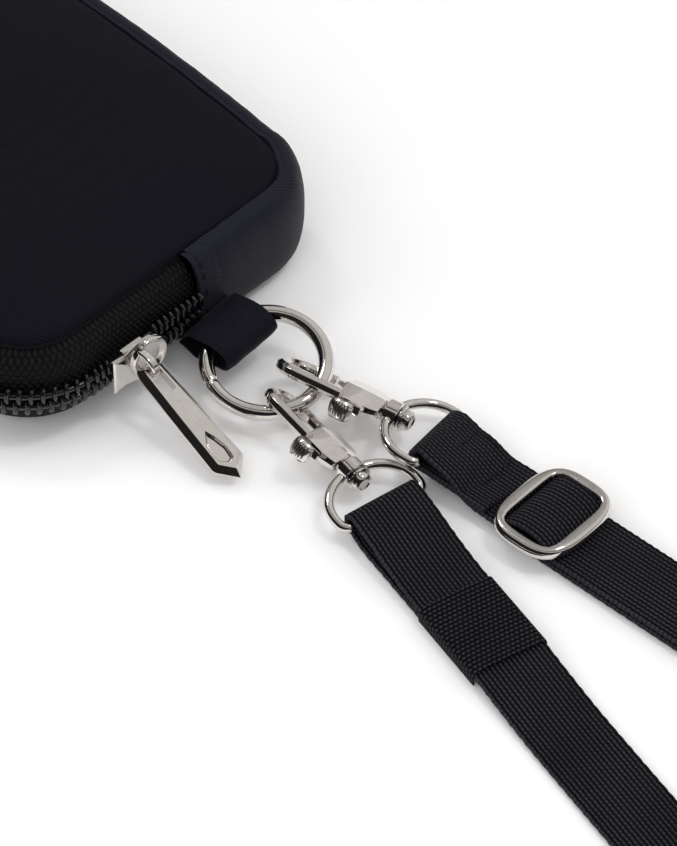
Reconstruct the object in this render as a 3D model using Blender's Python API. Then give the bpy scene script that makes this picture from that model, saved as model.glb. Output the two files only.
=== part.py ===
"""Zippered pouch with a carrying strap of 16 mm webbing on two swivel clips.

The origin is under the middle of the pouch, on the surface that it lies on. +X is along the
pouch, out of the short end that has the zip slider and the ring, +Y is across it, +Z is up.
Lengths below are in millimetres, and MM turns them into metres where a mesh is made.
"""
import math

import bmesh
import bpy
from mathutils import Matrix, Vector

MM = 0.001
GAP = 0.3

# Pouch: the rectangle that the two panel seams run round, and the wall between them
SEAM_HALF_LENGTH = 80.0
SEAM_HALF_WIDTH = 38.0
SEAM_RADIUS = 12.5
WALL_LOW = 2.6
WALL_HIGH = 20.2
WALL_BULGE = 4.2
PANEL_THICK = 1.1
PANEL_CROWN = 1.6
FOAM_THICK = 2.2
LINING_THICK = 0.5
GUSSET_THICK = 1.0
CORNER_STEPS = 5
LONG_STEP = 34.0

# Zip: it starts on the short end, turns one corner and runs down the long side
ZIP_START_Y = 4.0
ZIP_END_BEFORE_CORNER = 20.0
TAPE_THICK = 0.8
COIL_THICK = 2.2
CHAIN_T = (0.37, 0.465, 0.535, 0.63)
END_TAB_LENGTH = 4.5
SLIDER_Y = -15.8
SLIDER_LENGTH = 10.0
SLIDER_HEIGHT = 8.2
PLATE_THICK = 1.2
PULL_LENGTH = 26.5
PULL_WIDTH = 7.6
PULL_DROOP = 18.0
PULL_YAW = -5.0

# Tab and ring
TAB_WIDTH = 13.6
TAB_Y = 3.8
TAB_ROLL = 6.0
TAB_PITCH = -13.0
RING_CENTRE = (102.6, 3.6, 7.3)
RING_RADIUS = 11.5
RING_WIRE = 1.55
RING_TILT = 11.5
RING_TILT_HEADING = 43.8

# Swivel clips, each in its own frame: x from the nose to the strap, y across the hook
HOOK_HALF_WIDTH = 4.4
HOOK_BAR = 1.1
CLAW_END_X = 10.3
BLOCK_X = (15.0, 23.5)
BLOCK_HALF_WIDTH = 4.9
BLOCK_HALF_THICK = 2.2
PIVOT = (18.9, 3.2)
COLLAR_X = (24.2, 27.2)
D_BAR_X = 36.0
D_HALF_WIDTH = 10.3
D_WIRE = 1.0
D_DROP = 1.0
# nose (x, y, z), heading, pitch down, roll of the hook, roll of the D-ring
CLIPS = {
    "a": ((103.8, 5.9, 6.9), 12.0, 2.0, -39.0, -11.0),
    "b": ((107.6, 0.1, 5.8), -10.0, 1.9, -45.0, 0.0),
}

# Webbing strap
WEB_WIDTH = 15.6
WEB_THICK = 1.3
STRAP_A_HEADING = 1.4
STRAP_B_HEADING = -14.5
ADJUSTER_AT = 28.2
RECTANGULAR_RING_AT = 101.0
SEWN_END_AT = 18.0
KEEPER_AT = (24.5, 43.0)
TWIST_STEPS = 8
ROLL_CENTRE = (322.0, 6.0)
ROLL_RADIUS = 40.4
ROLL_INNER = 7.0
ROLL_FLOOR = 0.9
TAIL_LEAVES_AT = 222.0
TAIL_STEPS = 14
TIE_WIDTH = 8.0
TIE_THICK = 0.4

NICKEL = ("polished_nickel", (0.62, 0.59, 0.56), 1.0, 0.16)
TWILL = ("black_twill", (0.012, 0.013, 0.018), 0.0, 0.72)
LINING = ("black_lining", (0.02, 0.02, 0.024), 0.0, 0.6)
FOAM = ("grey_foam", (0.12, 0.12, 0.13), 0.0, 0.9)
TAPE = ("zip_tape", (0.010, 0.010, 0.012), 0.0, 0.85)
COIL = ("zip_coil", (0.012, 0.012, 0.014), 0.0, 0.35)
WEBBING = ("black_webbing", (0.014, 0.014, 0.017), 0.0, 0.7)
SPRING_STEEL = ("spring_steel", (0.5, 0.5, 0.5), 1.0, 0.3)


# ---------------------------------------------------------------- building blocks
def clear_scene():
    for item in list(bpy.data.objects):
        bpy.data.objects.remove(item, do_unlink=True)


def material(finish):
    name, colour, metallic, roughness = finish
    if name in bpy.data.materials:
        return bpy.data.materials[name]
    made = bpy.data.materials.new(name)
    made.use_nodes = True
    shader = made.node_tree.nodes["Principled BSDF"]
    shader.inputs["Base Color"].default_value = (*colour, 1.0)
    shader.inputs["Metallic"].default_value = metallic
    shader.inputs["Roughness"].default_value = roughness
    return made


def add_object(name, shape, finish, origin=(0, 0, 0), parent=None):
    """An object from (verts, faces) in millimetres; its origin is put at origin in that frame."""
    verts, faces = shape
    start = Vector(origin)
    mesh = bpy.data.meshes.new(name)
    mesh.from_pydata([(Vector(v) - start) * MM for v in verts], [], faces)
    tidy = bmesh.new()
    tidy.from_mesh(mesh)
    bmesh.ops.remove_doubles(tidy, verts=tidy.verts, dist=0.005 * MM)
    bmesh.ops.recalc_face_normals(tidy, faces=tidy.faces)
    tidy.to_mesh(mesh)
    tidy.free()
    mesh.shade_smooth()
    mesh.set_sharp_from_angle(angle=math.radians(40))
    made = bpy.data.objects.new(name, mesh)
    made.location = start * MM
    made.data.materials.append(material(finish))
    made.parent = parent
    bpy.context.collection.objects.link(made)
    return made


def add_frame(name, place, turn=(0, 0, 0), parent=None):
    """An empty that pieces are parented to; turn is roll, pitch and heading in degrees."""
    empty = bpy.data.objects.new(name, None)
    empty.location = Vector(place) * MM
    empty.rotation_euler = [math.radians(a) for a in turn]
    empty.parent = parent
    bpy.context.collection.objects.link(empty)
    return empty


def combine(target, tool, operation):
    """Adds or takes away the tool's shape; the tool itself stays out of the model."""
    tool.hide_render = True
    tool.display_type = "WIRE"
    change = target.modifiers.new(operation.lower(), "BOOLEAN")
    change.operation = operation
    change.object = tool


def sweep(frames, section, closed=False):
    """A section of (a, b) points carried along frames of (centre, a axis, b axis)."""
    verts = [c + u * a + w * b for c, u, w in frames for a, b in section]
    count = len(section)
    loops = len(frames)
    faces = []
    for i in range(loops if closed else loops - 1):
        here = i * count
        there = (i + 1) % loops * count
        for j in range(count):
            k = (j + 1) % count
            faces.append((here + j, here + k, there + k, there + j))
    if not closed:
        faces.append(tuple(range(count)))
        faces.append(tuple(range(len(verts) - count, len(verts))))
    return verts, faces


def along(points, up, closed=False):
    """Frames along a route of points, with the b axis as near to up as it can be."""
    route = [Vector(p) for p in points]
    frames = []
    for i, here in enumerate(route):
        before = route[i - 1] if closed or i else here
        after = route[(i + 1) % len(route)] if closed or i + 1 < len(route) else here
        ahead = (after - before).normalized()
        lift = Vector(up(i) if callable(up) else up)
        side = ahead.cross(lift).normalized()
        frames.append((here, side, side.cross(ahead)))
    return frames


def circle(radius, steps):
    turns = [math.tau * i / steps for i in range(steps)]
    return [(radius * math.cos(a), radius * math.sin(a)) for a in turns]


def bar(half_width, half_thick, chamfer):
    """An eight-sided section: a rectangle with its corners cut."""
    w, h, c = half_width, half_thick, chamfer
    upper = [(w, h - c), (w - c, h), (c - w, h), (-w, h - c)]
    return upper + [(-a, -b) for a, b in upper]


def arc(centre, radius, start, end, steps):
    turns = [math.radians(start + (end - start) * i / steps) for i in range(steps + 1)]
    return [(centre[0] + radius * math.cos(a), centre[1] + radius * math.sin(a)) for a in turns]


def rounded_rectangle(half_x, half_y, radius, steps):
    corners = [(1, 1, 0), (-1, 1, 90), (-1, -1, 180), (1, -1, 270)]
    points = []
    for x, y, start in corners:
        points += arc((x * (half_x - radius), y * (half_y - radius)), radius, start, start + 90, steps)
    return points


def prism(outline, low, high):
    count = len(outline)
    verts = [Vector((x, y, low)) for x, y in outline] + [Vector((x, y, high)) for x, y in outline]
    faces = [(i, (i + 1) % count, count + (i + 1) % count, count + i) for i in range(count)]
    faces += [tuple(range(count)), tuple(range(count, 2 * count))]
    return verts, faces


def turned(profile, steps):
    """A solid turned about x from a profile of (x, radius) whose ends lie on the axis."""
    verts = [Vector((profile[0][0], 0, 0)), Vector((profile[-1][0], 0, 0))]
    rings = profile[1:-1]
    for x, radius in rings:
        verts += [Vector((x, a, b)) for a, b in circle(radius, steps)]
    faces = []
    for j in range(steps):
        k = (j + 1) % steps
        faces.append((0, 2 + j, 2 + k))
        last = 2 + (len(rings) - 1) * steps
        faces.append((1, last + k, last + j))
        for i in range(len(rings) - 1):
            here = 2 + i * steps
            faces.append((here + j, here + steps + j, here + steps + k, here + k))
    return verts, faces


# ---------------------------------------------------------------- pouch
def panel(name, finish, inset, low_of, high_of):
    """A padded layer over the seam rectangle.

    low_of and high_of give its two heights, from the middle (0) to the edge (1).
    """
    edge = rounded_rectangle(
        SEAM_HALF_LENGTH - inset, SEAM_HALF_WIDTH - inset, SEAM_RADIUS - inset / 2, CORNER_STEPS
    )
    shares = (0.45, 0.82, 0.94, 1.0)
    count = len(edge)
    verts = []
    for z_of in (low_of, high_of):
        verts.append(Vector((0, 0, z_of(0))))
        verts += [Vector((x * s, y * s, z_of(s))) for s in shares for x, y in edge]
    layer = 1 + count * len(shares)
    faces = []
    for base in (0, layer):
        for j in range(count):
            k = (j + 1) % count
            faces.append((base, base + 1 + j, base + 1 + k))
            for i in range(len(shares) - 1):
                ring = base + 1 + i * count
                faces.append((ring + j, ring + count + j, ring + count + k, ring + k))
    rim = layer - count
    for j in range(count):
        k = (j + 1) % count
        faces.append((rim + j, layer + rim + j, layer + rim + k, rim + k))
    return add_object(name, (verts, faces), finish)


def crown(share):
    return PANEL_CROWN * (1 - share ** 3)


def belly(share):
    """How far the underside is above the surface: flat in the middle, rising to the seam."""
    return max(0.0, (share - 0.82) / 0.18) ** 1.5


def add_panels():
    top = WALL_HIGH + GAP
    panel("front_panel", TWILL, 0, lambda s: top + crown(s), lambda s: top + crown(s) + PANEL_THICK)
    foam_high = top - GAP
    panel(
        "front_foam", FOAM, 2.6,
        lambda s: foam_high - FOAM_THICK + crown(s), lambda s: foam_high + crown(s),
    )
    lining_high = foam_high - FOAM_THICK - GAP
    panel(
        "front_lining", LINING, 2.9,
        lambda s: lining_high - LINING_THICK + crown(s), lambda s: lining_high + crown(s),
    )
    panel("back_panel", TWILL, 0, belly, lambda s: PANEL_THICK + belly(s))
    back_foam_low = PANEL_THICK + GAP
    panel(
        "back_foam", FOAM, 2.6,
        lambda s: back_foam_low + belly(s), lambda s: back_foam_low + FOAM_THICK + belly(s),
    )
    back_lining_low = back_foam_low + FOAM_THICK + GAP
    panel(
        "back_lining", LINING, 2.9,
        lambda s: back_lining_low + belly(s), lambda s: back_lining_low + LINING_THICK + belly(s),
    )


STRAIGHT_X = 2 * (SEAM_HALF_LENGTH - SEAM_RADIUS)
STRAIGHT_Y = 2 * (SEAM_HALF_WIDTH - SEAM_RADIUS)
QUARTER = SEAM_RADIUS * math.pi / 2
ROUND_TRIP = 2 * (STRAIGHT_X + STRAIGHT_Y) + 4 * QUARTER


def seam_stations():
    """Distances round the seam at which a straight or a corner starts."""
    stations = [0.0, STRAIGHT_Y / 2]
    for length in (QUARTER, STRAIGHT_X, QUARTER, STRAIGHT_Y, QUARTER, STRAIGHT_X, QUARTER, STRAIGHT_Y / 2):
        stations.append(stations[-1] + length)
    return stations


def seam_point(distance):
    """The seam's point and its outward direction.

    The distance goes clockwise, seen from above, from the middle of the +X end.
    """
    far_x = SEAM_HALF_LENGTH
    far_y = SEAM_HALF_WIDTH
    mid_x = far_x - SEAM_RADIUS
    mid_y = far_y - SEAM_RADIUS
    stations = seam_stations()
    distance %= ROUND_TRIP
    step = max(i for i, start in enumerate(stations[:-1]) if start <= distance + 1e-9)
    into = distance - stations[step]
    straights = {
        0: ((far_x, 0), (0, -1), (1, 0)),
        2: ((mid_x, -far_y), (-1, 0), (0, -1)),
        4: ((-far_x, -mid_y), (0, 1), (-1, 0)),
        6: ((-mid_x, far_y), (1, 0), (0, 1)),
        8: ((far_x, mid_y), (0, -1), (1, 0)),
    }
    if step in straights:
        start, ahead, out = (Vector((*pair, 0)) for pair in straights[step])
        return start + ahead * into, out
    centres = {
        1: (mid_x, -mid_y, 0),
        3: (-mid_x, -mid_y, -90),
        5: (-mid_x, mid_y, -180),
        7: (mid_x, mid_y, -270),
    }
    x, y, start_angle = centres[step]
    angle = math.radians(start_angle) - into / SEAM_RADIUS
    out = Vector((math.cos(angle), math.sin(angle), 0))
    return Vector((x, y, 0)) + out * SEAM_RADIUS, out


def seam_samples(start, end):
    """Distances from start to end: short steps round a corner, long ones on a straight."""
    stations = [s + lap for lap in (-ROUND_TRIP, 0, ROUND_TRIP) for s in seam_stations()[:-1]]
    marks = sorted({start, end, *(s for s in stations if start < s < end)})
    samples = []
    for low, high in zip(marks, marks[1:]):
        middle_out = seam_point((low + high) / 2)[1]
        bends = abs(middle_out.x) > 1e-6 and abs(middle_out.y) > 1e-6
        step = QUARTER / CORNER_STEPS if bends else LONG_STEP
        steps = max(1, round((high - low) / step))
        samples += [low + (high - low) * i / steps for i in range(steps)]
    return samples + [end]


def wall_point(distance, share, out):
    """A point on the pouch's wall; share 0 is the lower seam, 1 the upper, and out is outwards."""
    start, outward = seam_point(distance)
    bulge = WALL_BULGE * math.sin(math.pi * share) ** 0.9 if 0 < share < 1 else 0.0
    return start + outward * (bulge + out) + Vector((0, 0, WALL_LOW + (WALL_HIGH - WALL_LOW) * share))


def wall_strip(name, finish, span, shares, outs, steps):
    """A closed strip of the wall between two distances, two heights and two depths."""
    low, high = shares
    inner, outer = outs
    section = [(low + (high - low) * i / steps, outer) for i in range(steps + 1)]
    section += [(high - (high - low) * i / steps, inner) for i in range(steps + 1)]
    samples = seam_samples(*span)
    count = len(section)
    verts = [wall_point(d, share, out) for d in samples for share, out in section]
    faces = []
    for i in range(len(samples) - 1):
        for j in range(count):
            k = (j + 1) % count
            faces.append((i * count + j, i * count + k, (i + 1) * count + k, (i + 1) * count + j))
    faces.append(tuple(range(count)))
    faces.append(tuple(range(len(verts) - count, len(verts))))
    return add_object(name, (verts, faces), finish)


def add_wall():
    zip_start = -ZIP_START_Y
    zip_end = STRAIGHT_Y / 2 + QUARTER + STRAIGHT_X - ZIP_END_BEFORE_CORNER
    low_inner, low_outer, high_inner, high_outer = CHAIN_T
    gusset = (zip_end + GAP, ROUND_TRIP + zip_start - GAP)
    wall_strip("gusset", TWILL, gusset, (0.0, 1.0), (-GUSSET_THICK, 0.0), 6)
    span = (zip_start, zip_end)
    wall_strip("zipper_tape_lower", TAPE, span, (0.0, low_outer), (-TAPE_THICK, 0.0), 4)
    wall_strip("zipper_tape_upper", TAPE, span, (high_inner, 1.0), (-TAPE_THICK, 0.0), 4)
    under_tab = END_TAB_LENGTH - 3.5
    coil_span = (zip_start + under_tab, zip_end - under_tab)
    outs = (GAP, GAP + COIL_THICK)
    wall_strip("zipper_coil_lower", COIL, coil_span, (low_inner, low_outer), outs, 1)
    wall_strip("zipper_coil_upper", COIL, coil_span, (high_inner, high_outer), outs, 1)
    tab_out = (1.5 * GAP, 1.5 * GAP + 0.9)
    start_tab = (zip_start - END_TAB_LENGTH, coil_span[0] - GAP)
    finish_tab = (coil_span[1] + GAP, zip_end + END_TAB_LENGTH)
    wall_strip("zip_end_tab_start", TWILL, start_tab, (0.15, 0.85), tab_out, 4)
    wall_strip("zip_end_tab_finish", TWILL, finish_tab, (0.15, 0.85), tab_out, 4)
    binding = (-2.2, -1.4)
    lap = (1.0, ROUND_TRIP - 1.0)
    wall_strip("front_seam_binding", LINING, lap, (0.80, 0.88), binding, 1)
    wall_strip("back_seam_binding", LINING, lap, (0.12, 0.20), binding, 1)


# ---------------------------------------------------------------- slider and pull
def chain_face():
    """x of the outer face of the zip chain on the short end, and the height of its middle."""
    middle = wall_point(0, 0.5, GAP + COIL_THICK)
    return middle.x, middle.z


def add_slider():
    """Outer plate, flanges, the wedge through the chain and the inner plate, as one casting."""
    face, height = chain_face()
    frame = add_frame("slider_frame", (face, SLIDER_Y, height), (90, 0, 90))
    half_long = SLIDER_LENGTH / 2
    half_high = SLIDER_HEIGHT / 2
    outline = [
        (-half_long, -half_high), (-half_long + 2.2, -half_high + 0.5), (2.4, -half_high),
        (half_long, -half_high + 1.6), (half_long, half_high - 1.6), (2.4, half_high),
        (-half_long + 2.2, half_high - 0.5), (-half_long, half_high),
    ]
    plate = add_object("slider_body", prism(outline, GAP, GAP + PLATE_THICK), NICKEL, parent=frame)
    extras = []
    for side in (-1, 1):
        low, high = sorted((side * (half_high - 0.9), side * (half_high - 0.05)))
        rail = box((-half_long + 2.4, low, -1.6), (2.2, high, GAP + 0.4))
        extras.append(add_object(f"slider_rail_{side + 1}", rail, NICKEL, parent=frame))
    depth = COIL_THICK + GAP + TAPE_THICK + 1.2
    post = box((-0.6, -0.35, -depth - 0.4), (half_long - 1.4, 0.35, GAP + 0.4))
    extras.append(add_object("slider_wedge", post, NICKEL, parent=frame))
    inner = prism([(x * 0.92, y * 0.8) for x, y in outline], -depth - PLATE_THICK, -depth)
    extras.append(add_object("slider_inner_plate", inner, NICKEL, parent=frame))
    for tool in extras:
        combine(plate, tool, "UNION")
    bridge_route = [(0, -2.9, 0)] + [(0, y, z) for y, z in arc((0, 1.4), 2.9, 180, 0, 8)] + [(0, 2.9, 0)]
    lift = GAP + PLATE_THICK + GAP
    bridge_route = [(x, y, z + lift) for x, y, z in bridge_route]
    bridge = sweep(along(bridge_route, (1, 0, 0)), bar(0.6, 1.1, 0.25))
    add_object("slider_bridge", bridge, NICKEL, parent=frame)
    return face, height


def box(low, high):
    outline = [(low[0], low[1]), (high[0], low[1]), (high[0], high[1]), (low[0], high[1])]
    return prism(outline, low[2], high[2])


def add_pull(face, height):
    """A bevelled bar with a slot at the eye and a shallow point at the tip; it turns on its cross bar."""
    axis_x = face + GAP + PLATE_THICK + 1.9
    turn = (0, PULL_DROOP, PULL_YAW)
    frame = add_frame("pull_frame", (axis_x, SLIDER_Y, height), turn)
    eye = 0.75
    half = PULL_WIDTH / 2
    outline = [
        (-eye, -half + 0.9), (-eye + 0.5, -half + 0.4), (9.0, -half), (PULL_LENGTH - 2.6, -half + 0.3),
        (PULL_LENGTH - 0.6, 0), (PULL_LENGTH - 2.6, half - 0.3), (9.0, half), (-eye + 0.5, half - 0.4),
        (-eye, half - 0.9),
    ]
    pull = add_object("pull_tab", prism(outline, -0.8, 0.8), NICKEL, parent=frame)
    slot = add_object("pull_slot", box((eye, -2.0, -3), (7.2, 2.0, 3)), NICKEL, parent=frame)
    combine(pull, slot, "DIFFERENCE")


# ---------------------------------------------------------------- tab and ring
def add_tab():
    """A folded strip sewn into the wall, with the ring in its fold."""
    frame = add_frame("tab_frame", (85.6, TAB_Y, 7.0), (TAB_ROLL, TAB_PITCH, 0))
    upper = [(0, 0.8), (2.9, 3.4), (12.6, 3.4), (13.8, 2.0)]
    outer = upper + [(x, -z) for x, z in reversed(upper)]
    upper = [(3.2, 2.5), (12.2, 2.5), (12.9, 1.7)]
    inner = upper + [(x, -z) for x, z in reversed(upper)]
    tab = add_object("tab_loop", side_prism(outer, TAB_WIDTH / 2), TWILL, parent=frame)
    hollow = add_object("tab_hollow", side_prism(inner, TAB_WIDTH), TWILL, parent=frame)
    combine(tab, hollow, "DIFFERENCE")


def side_prism(outline, half_width):
    """A prism across y from an outline of (x, z)."""
    verts, faces = prism(outline, -half_width, half_width)
    return [Vector((v.x, v.z, v.y)) for v in verts], faces


def ring_axes():
    """The ring's two in-plane directions: one level, one tilted up away from the clips."""
    heading = math.radians(RING_TILT_HEADING)
    tilt = math.radians(RING_TILT)
    level = Vector((math.cos(heading), math.sin(heading), 0))
    away = Vector((-math.sin(heading), math.cos(heading), 0))
    return level, away * math.cos(tilt) + Vector((0, 0, math.sin(tilt)))


def add_ring():
    level, raised = ring_axes()
    centre = Vector(RING_CENTRE)
    normal = level.cross(raised)
    frames = []
    for a, b in circle(1.0, 36):
        out = level * a + raised * b
        frames.append((centre + out * RING_RADIUS, out, normal))
    add_object("o_ring", sweep(frames, circle(RING_WIRE, 10), closed=True), NICKEL, origin=RING_CENTRE)


# ---------------------------------------------------------------- swivel clips
def hook_route():
    bend_x = HOOK_HALF_WIDTH + HOOK_BAR
    points = [(BLOCK_X[0] + 1.0, -HOOK_HALF_WIDTH)]
    points += arc((bend_x, 0), HOOK_HALF_WIDTH, 270, 90, 12)
    points.append((CLAW_END_X, HOOK_HALF_WIDTH))
    return [(x, y, 0) for x, y in points]


def add_hook(tag, frame):
    """The cast body: a bent bar that ends in a claw, and the block that the gate and the swivel sit in."""
    low_x, high_x = BLOCK_X
    wide = BLOCK_HALF_WIDTH
    thick = BLOCK_HALF_THICK
    outline = [
        (low_x, -wide - 0.4), (low_x + 5.6, -wide), (high_x, -2.8),
        (high_x, 2.8), (low_x + 5.6, wide), (low_x, wide),
    ]
    hook = add_object(f"hook_{tag}", prism(outline, -thick, thick), NICKEL, parent=frame)
    bent = sweep(along(hook_route(), (0, 0, 1)), bar(HOOK_BAR, 1.2, 0.4))
    combine(hook, add_object(f"hook_bar_{tag}", bent, NICKEL, parent=frame), "UNION")
    cuts = {
        "slot": box((16.9, -9, -1.25), (22.3, 9, 1.25)),
        "notch": box((14, 1.0, -1.25), (17.4, 9, 1.25)),
        "hole": prism(at_pivot(0.85), -4, 4),
    }
    for part, shape in cuts.items():
        combine(hook, add_object(f"hook_{part}_{tag}", shape, NICKEL, parent=frame), "DIFFERENCE")


def at_pivot(radius):
    return [(x + PIVOT[0], y + PIVOT[1]) for x, y in circle(radius, 10)]


def add_gate(tag, frame):
    """The sprung gate: a rod that closes the hook, and its thumb lever on the other side of the block."""
    x, y = PIVOT
    rod_low = HOOK_HALF_WIDTH - 0.95
    rod_high = HOOK_HALF_WIDTH + 0.95
    rod = [(10.75, rod_low), (16.4, rod_low), (x - 1.5, 1.4)]
    thumb = [(17.2, -4.6), (16.8, -5.7), (16.2, -7.2), (19.0, -7.4), (19.4, -5.9), (18.9, -4.6)]
    back = [(x + 1.6, 1.8), (x + 1.7, 4.0), (x + 0.6, 5.0), (16.4, rod_high), (10.75, rod_high)]
    pivot = (x, y, 0)
    shape = prism(rod + thumb + back, -0.35, 0.95)
    gate = add_object(f"gate_{tag}", shape, NICKEL, origin=pivot, parent=frame)
    hole = add_object(f"gate_hole_{tag}", prism(at_pivot(0.85), -4, 4), NICKEL, parent=frame)
    combine(gate, hole, "DIFFERENCE")
    pin = prism(at_pivot(0.5), -BLOCK_HALF_THICK, BLOCK_HALF_THICK)
    add_object(f"gate_pin_{tag}", pin, NICKEL, parent=frame)
    ring = [
        (Vector((x, y, -0.9)) + Vector((a, b, 0)) * 1.15, Vector((a, b, 0)), Vector((0, 0, 1)))
        for a, b in circle(1.0, 12)
    ]
    coil = sweep(ring, circle(0.22, 6), closed=True)
    add_object(f"gate_spring_{tag}", coil, SPRING_STEEL, parent=frame)


def add_swivel(tag, frame):
    """The post that the clip turns on: a stem through the D-ring's collar, with a riveted cap."""
    start = BLOCK_X[1] + GAP
    collar_end = COLLAR_X[1] + GAP
    profile = [
        (start, 0), (start, 1.2), (collar_end, 1.2), (collar_end, 2.3), (collar_end + 0.7, 2.3),
        (collar_end + 0.7, 1.8), (collar_end + 1.3, 1.6), (collar_end + 1.7, 0.9), (collar_end + 1.8, 0),
    ]
    add_object(f"swivel_post_{tag}", turned(profile, 12), NICKEL, parent=frame)


def rod_along_x(low, high, radius):
    ends = [(Vector((x, 0, 0)), Vector((0, 1, 0)), Vector((0, 0, 1))) for x in (low, high)]
    return sweep(ends, circle(radius, 14))


def d_route():
    """The D-ring's wire, from one side of the collar round its bar to the other side."""
    x = (COLLAR_X[0] + COLLAR_X[1]) / 2
    half = D_HALF_WIDTH - D_WIRE
    bend = 1.4
    side = [(x, 2.0), (x + 0.5, 4.2), (x + 2.2, 6.6), (x + 4.4, half - 0.3), (x + 6.4, half)]
    corner = arc((D_BAR_X - bend, half - bend), bend, 90, 0, 4)
    flat = side + corner
    flat += [(px, -py) for px, py in reversed(flat)]
    return [(px, py, -D_DROP * max(0.0, (px - x) / (D_BAR_X - x))) for px, py in flat]


def add_d_ring(tag, frame):
    low, high = COLLAR_X
    ring = add_object(f"d_ring_{tag}", rod_along_x(low, high, 2.35), NICKEL, parent=frame)
    wire = sweep(along(d_route(), (0, 0, 1)), circle(D_WIRE, 8))
    combine(ring, add_object(f"d_ring_wire_{tag}", wire, NICKEL, parent=frame), "UNION")
    bore = rod_along_x(low - 5, high + 2.5, 1.55)
    combine(ring, add_object(f"d_ring_bore_{tag}", bore, NICKEL, parent=frame), "DIFFERENCE")


def add_clips():
    for tag, (nose, heading, pitch, hook_roll, ring_roll) in CLIPS.items():
        axis = add_frame(f"clip_axis_{tag}", nose, (0, pitch, heading))
        hook_frame = add_frame(f"hook_frame_{tag}", (0, 0, 0), (hook_roll, 0, 0), axis)
        add_hook(tag, hook_frame)
        add_gate(tag, hook_frame)
        add_swivel(tag, hook_frame)
        add_d_ring(tag, add_frame(f"d_ring_frame_{tag}", (0, 0, 0), (ring_roll, 0, 0), axis))


# ---------------------------------------------------------------- webbing
def on_strap(start, heading):
    """A function that gives the place at a distance along a strap, across it, and at a height."""
    turn = math.radians(heading)
    ahead = Vector((math.cos(turn), math.sin(turn), 0))
    left = Vector((-math.sin(turn), math.cos(turn), 0))
    origin = Vector((*start, 0))
    return lambda s, across=0.0, z=0.0: origin + ahead * s + left * across + Vector((0, 0, z))


def band(name, points, across, parent=None):
    """Webbing along a route, with its width along the across direction at each point."""
    frames = []
    for i, here in enumerate(points):
        ahead = (points[min(i + 1, len(points) - 1)] - points[max(i - 1, 0)]).normalized()
        side = (across(i) - ahead * across(i).dot(ahead)).normalized()
        frames.append((here, side, side.cross(ahead)))
    half = WEB_WIDTH / 2
    thin = WEB_THICK / 2
    section = [(half, thin), (-half, thin), (-half, -thin), (half, -thin)]
    return add_object(name, sweep(frames, section), WEBBING, parent=parent)


def fold_route(place, middle, level, under_end, under_z):
    """From the sewn end underneath, round the D-ring's bar, to the top layer."""
    reach = D_WIRE + GAP + WEB_THICK / 2
    ahead = level.cross(Vector((0, 0, 1))).normalized()
    rise = ahead.cross(level)
    points = [place(under_end, 0, under_z), place(under_end * 0.5, 0, under_z), place(4.0, 0, under_z)]
    for angle in range(-80, -281, -25):
        turn = math.radians(angle)
        points.append(middle + ahead * (reach * math.cos(turn)) + rise * (reach * math.sin(turn)))
    return points


def d_bar(tag):
    """The middle of a D-ring's bar, and the direction along the bar."""
    nose, heading, pitch, _, ring_roll = CLIPS[tag]
    turn = Matrix.Identity(3)
    for angle, axis in ((heading, "Z"), (pitch, "Y"), (ring_roll, "X")):
        turn = turn @ Matrix.Rotation(math.radians(angle), 3, axis)
    return Vector(nose) + turn @ Vector((D_BAR_X, 0, -D_DROP)), turn @ Vector((0, 1, 0))


def add_strap_a():
    """The strap on clip a: a sewn fold, a run to the rectangular ring, and the layer that comes back."""
    middle, level = d_bar("a")
    place = on_strap((middle.x, middle.y), STRAP_A_HEADING)
    flat = place(0, 1) - place(0)
    under = 0.25 + WEB_THICK / 2
    top = under + WEB_THICK + GAP
    route = fold_route(place, middle, level, SEWN_END_AT, middle.z - 2.1)
    fold_count = len(route)
    run = [(4.0, middle.z + 1.4), (8.0, middle.z + 0.5), (12.0, top + 0.5), (15.5, top)]
    run += [(ADJUSTER_AT, top), (50.0, top), (75.0, top), (RECTANGULAR_RING_AT - 6, top)]
    route += [place(s, 0, z) for s, z in run]
    ring_z = top + 0.5
    reach = 1.2 + GAP + WEB_THICK / 2
    for angle in (90, 45, 0, -30):
        turn = math.radians(angle)
        distance = RECTANGULAR_RING_AT + reach * math.cos(turn)
        route.append(place(distance, 0, ring_z + reach * math.sin(turn)))
    turning = 4

    def across(i):
        share = min(1.0, max(0.0, (i - fold_count) / turning))
        return level.lerp(flat, share)

    band("strap_a_run", route, across)
    back = [place(s, 0, under) for s in (RECTANGULAR_RING_AT - 4.0, 80.0, 55.0, ADJUSTER_AT + 2.0)]
    band("strap_a_return", back, lambda i: flat)
    add_adjuster(place, top)
    add_rectangular_ring(place, ring_z)
    return place


def add_adjuster(place, top):
    """A frame with a middle bar; the webbing humps over the bar, and the frame slides along the strap."""
    under_frame = top + WEB_THICK / 2 + 2 * GAP
    centre = place(ADJUSTER_AT, 0, under_frame + 1.2)
    frame = add_frame("adjuster_axis", centre, (0, 0, STRAP_A_HEADING))
    outline = prism(rounded_rectangle(8.9, 11.0, 4.4, 5), -1.2, 1.2)
    outer = add_object("adjuster_frame", outline, NICKEL, parent=frame)
    opening = prism(rounded_rectangle(6.2, 8.4, 1.4, 4), -3, 3)
    combine(outer, add_object("adjuster_window", opening, NICKEL, parent=frame), "DIFFERENCE")
    middle_bar = box((-0.9, -9.5, -1.1), (0.9, 9.5, 0.1))
    combine(outer, add_object("adjuster_bar", middle_bar, NICKEL, parent=frame), "UNION")
    rise = [(-5.0, -0.4), (-4.0, 0.3), (-2.6, 1.0), (-0.9, 1.35)]
    hump = [Vector((x, 0, z)) for x, z in rise + [(-x, z) for x, z in reversed(rise)]]
    band("adjuster_webbing", hump, lambda i: Vector((0, 1, 0)), parent=frame)


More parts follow.
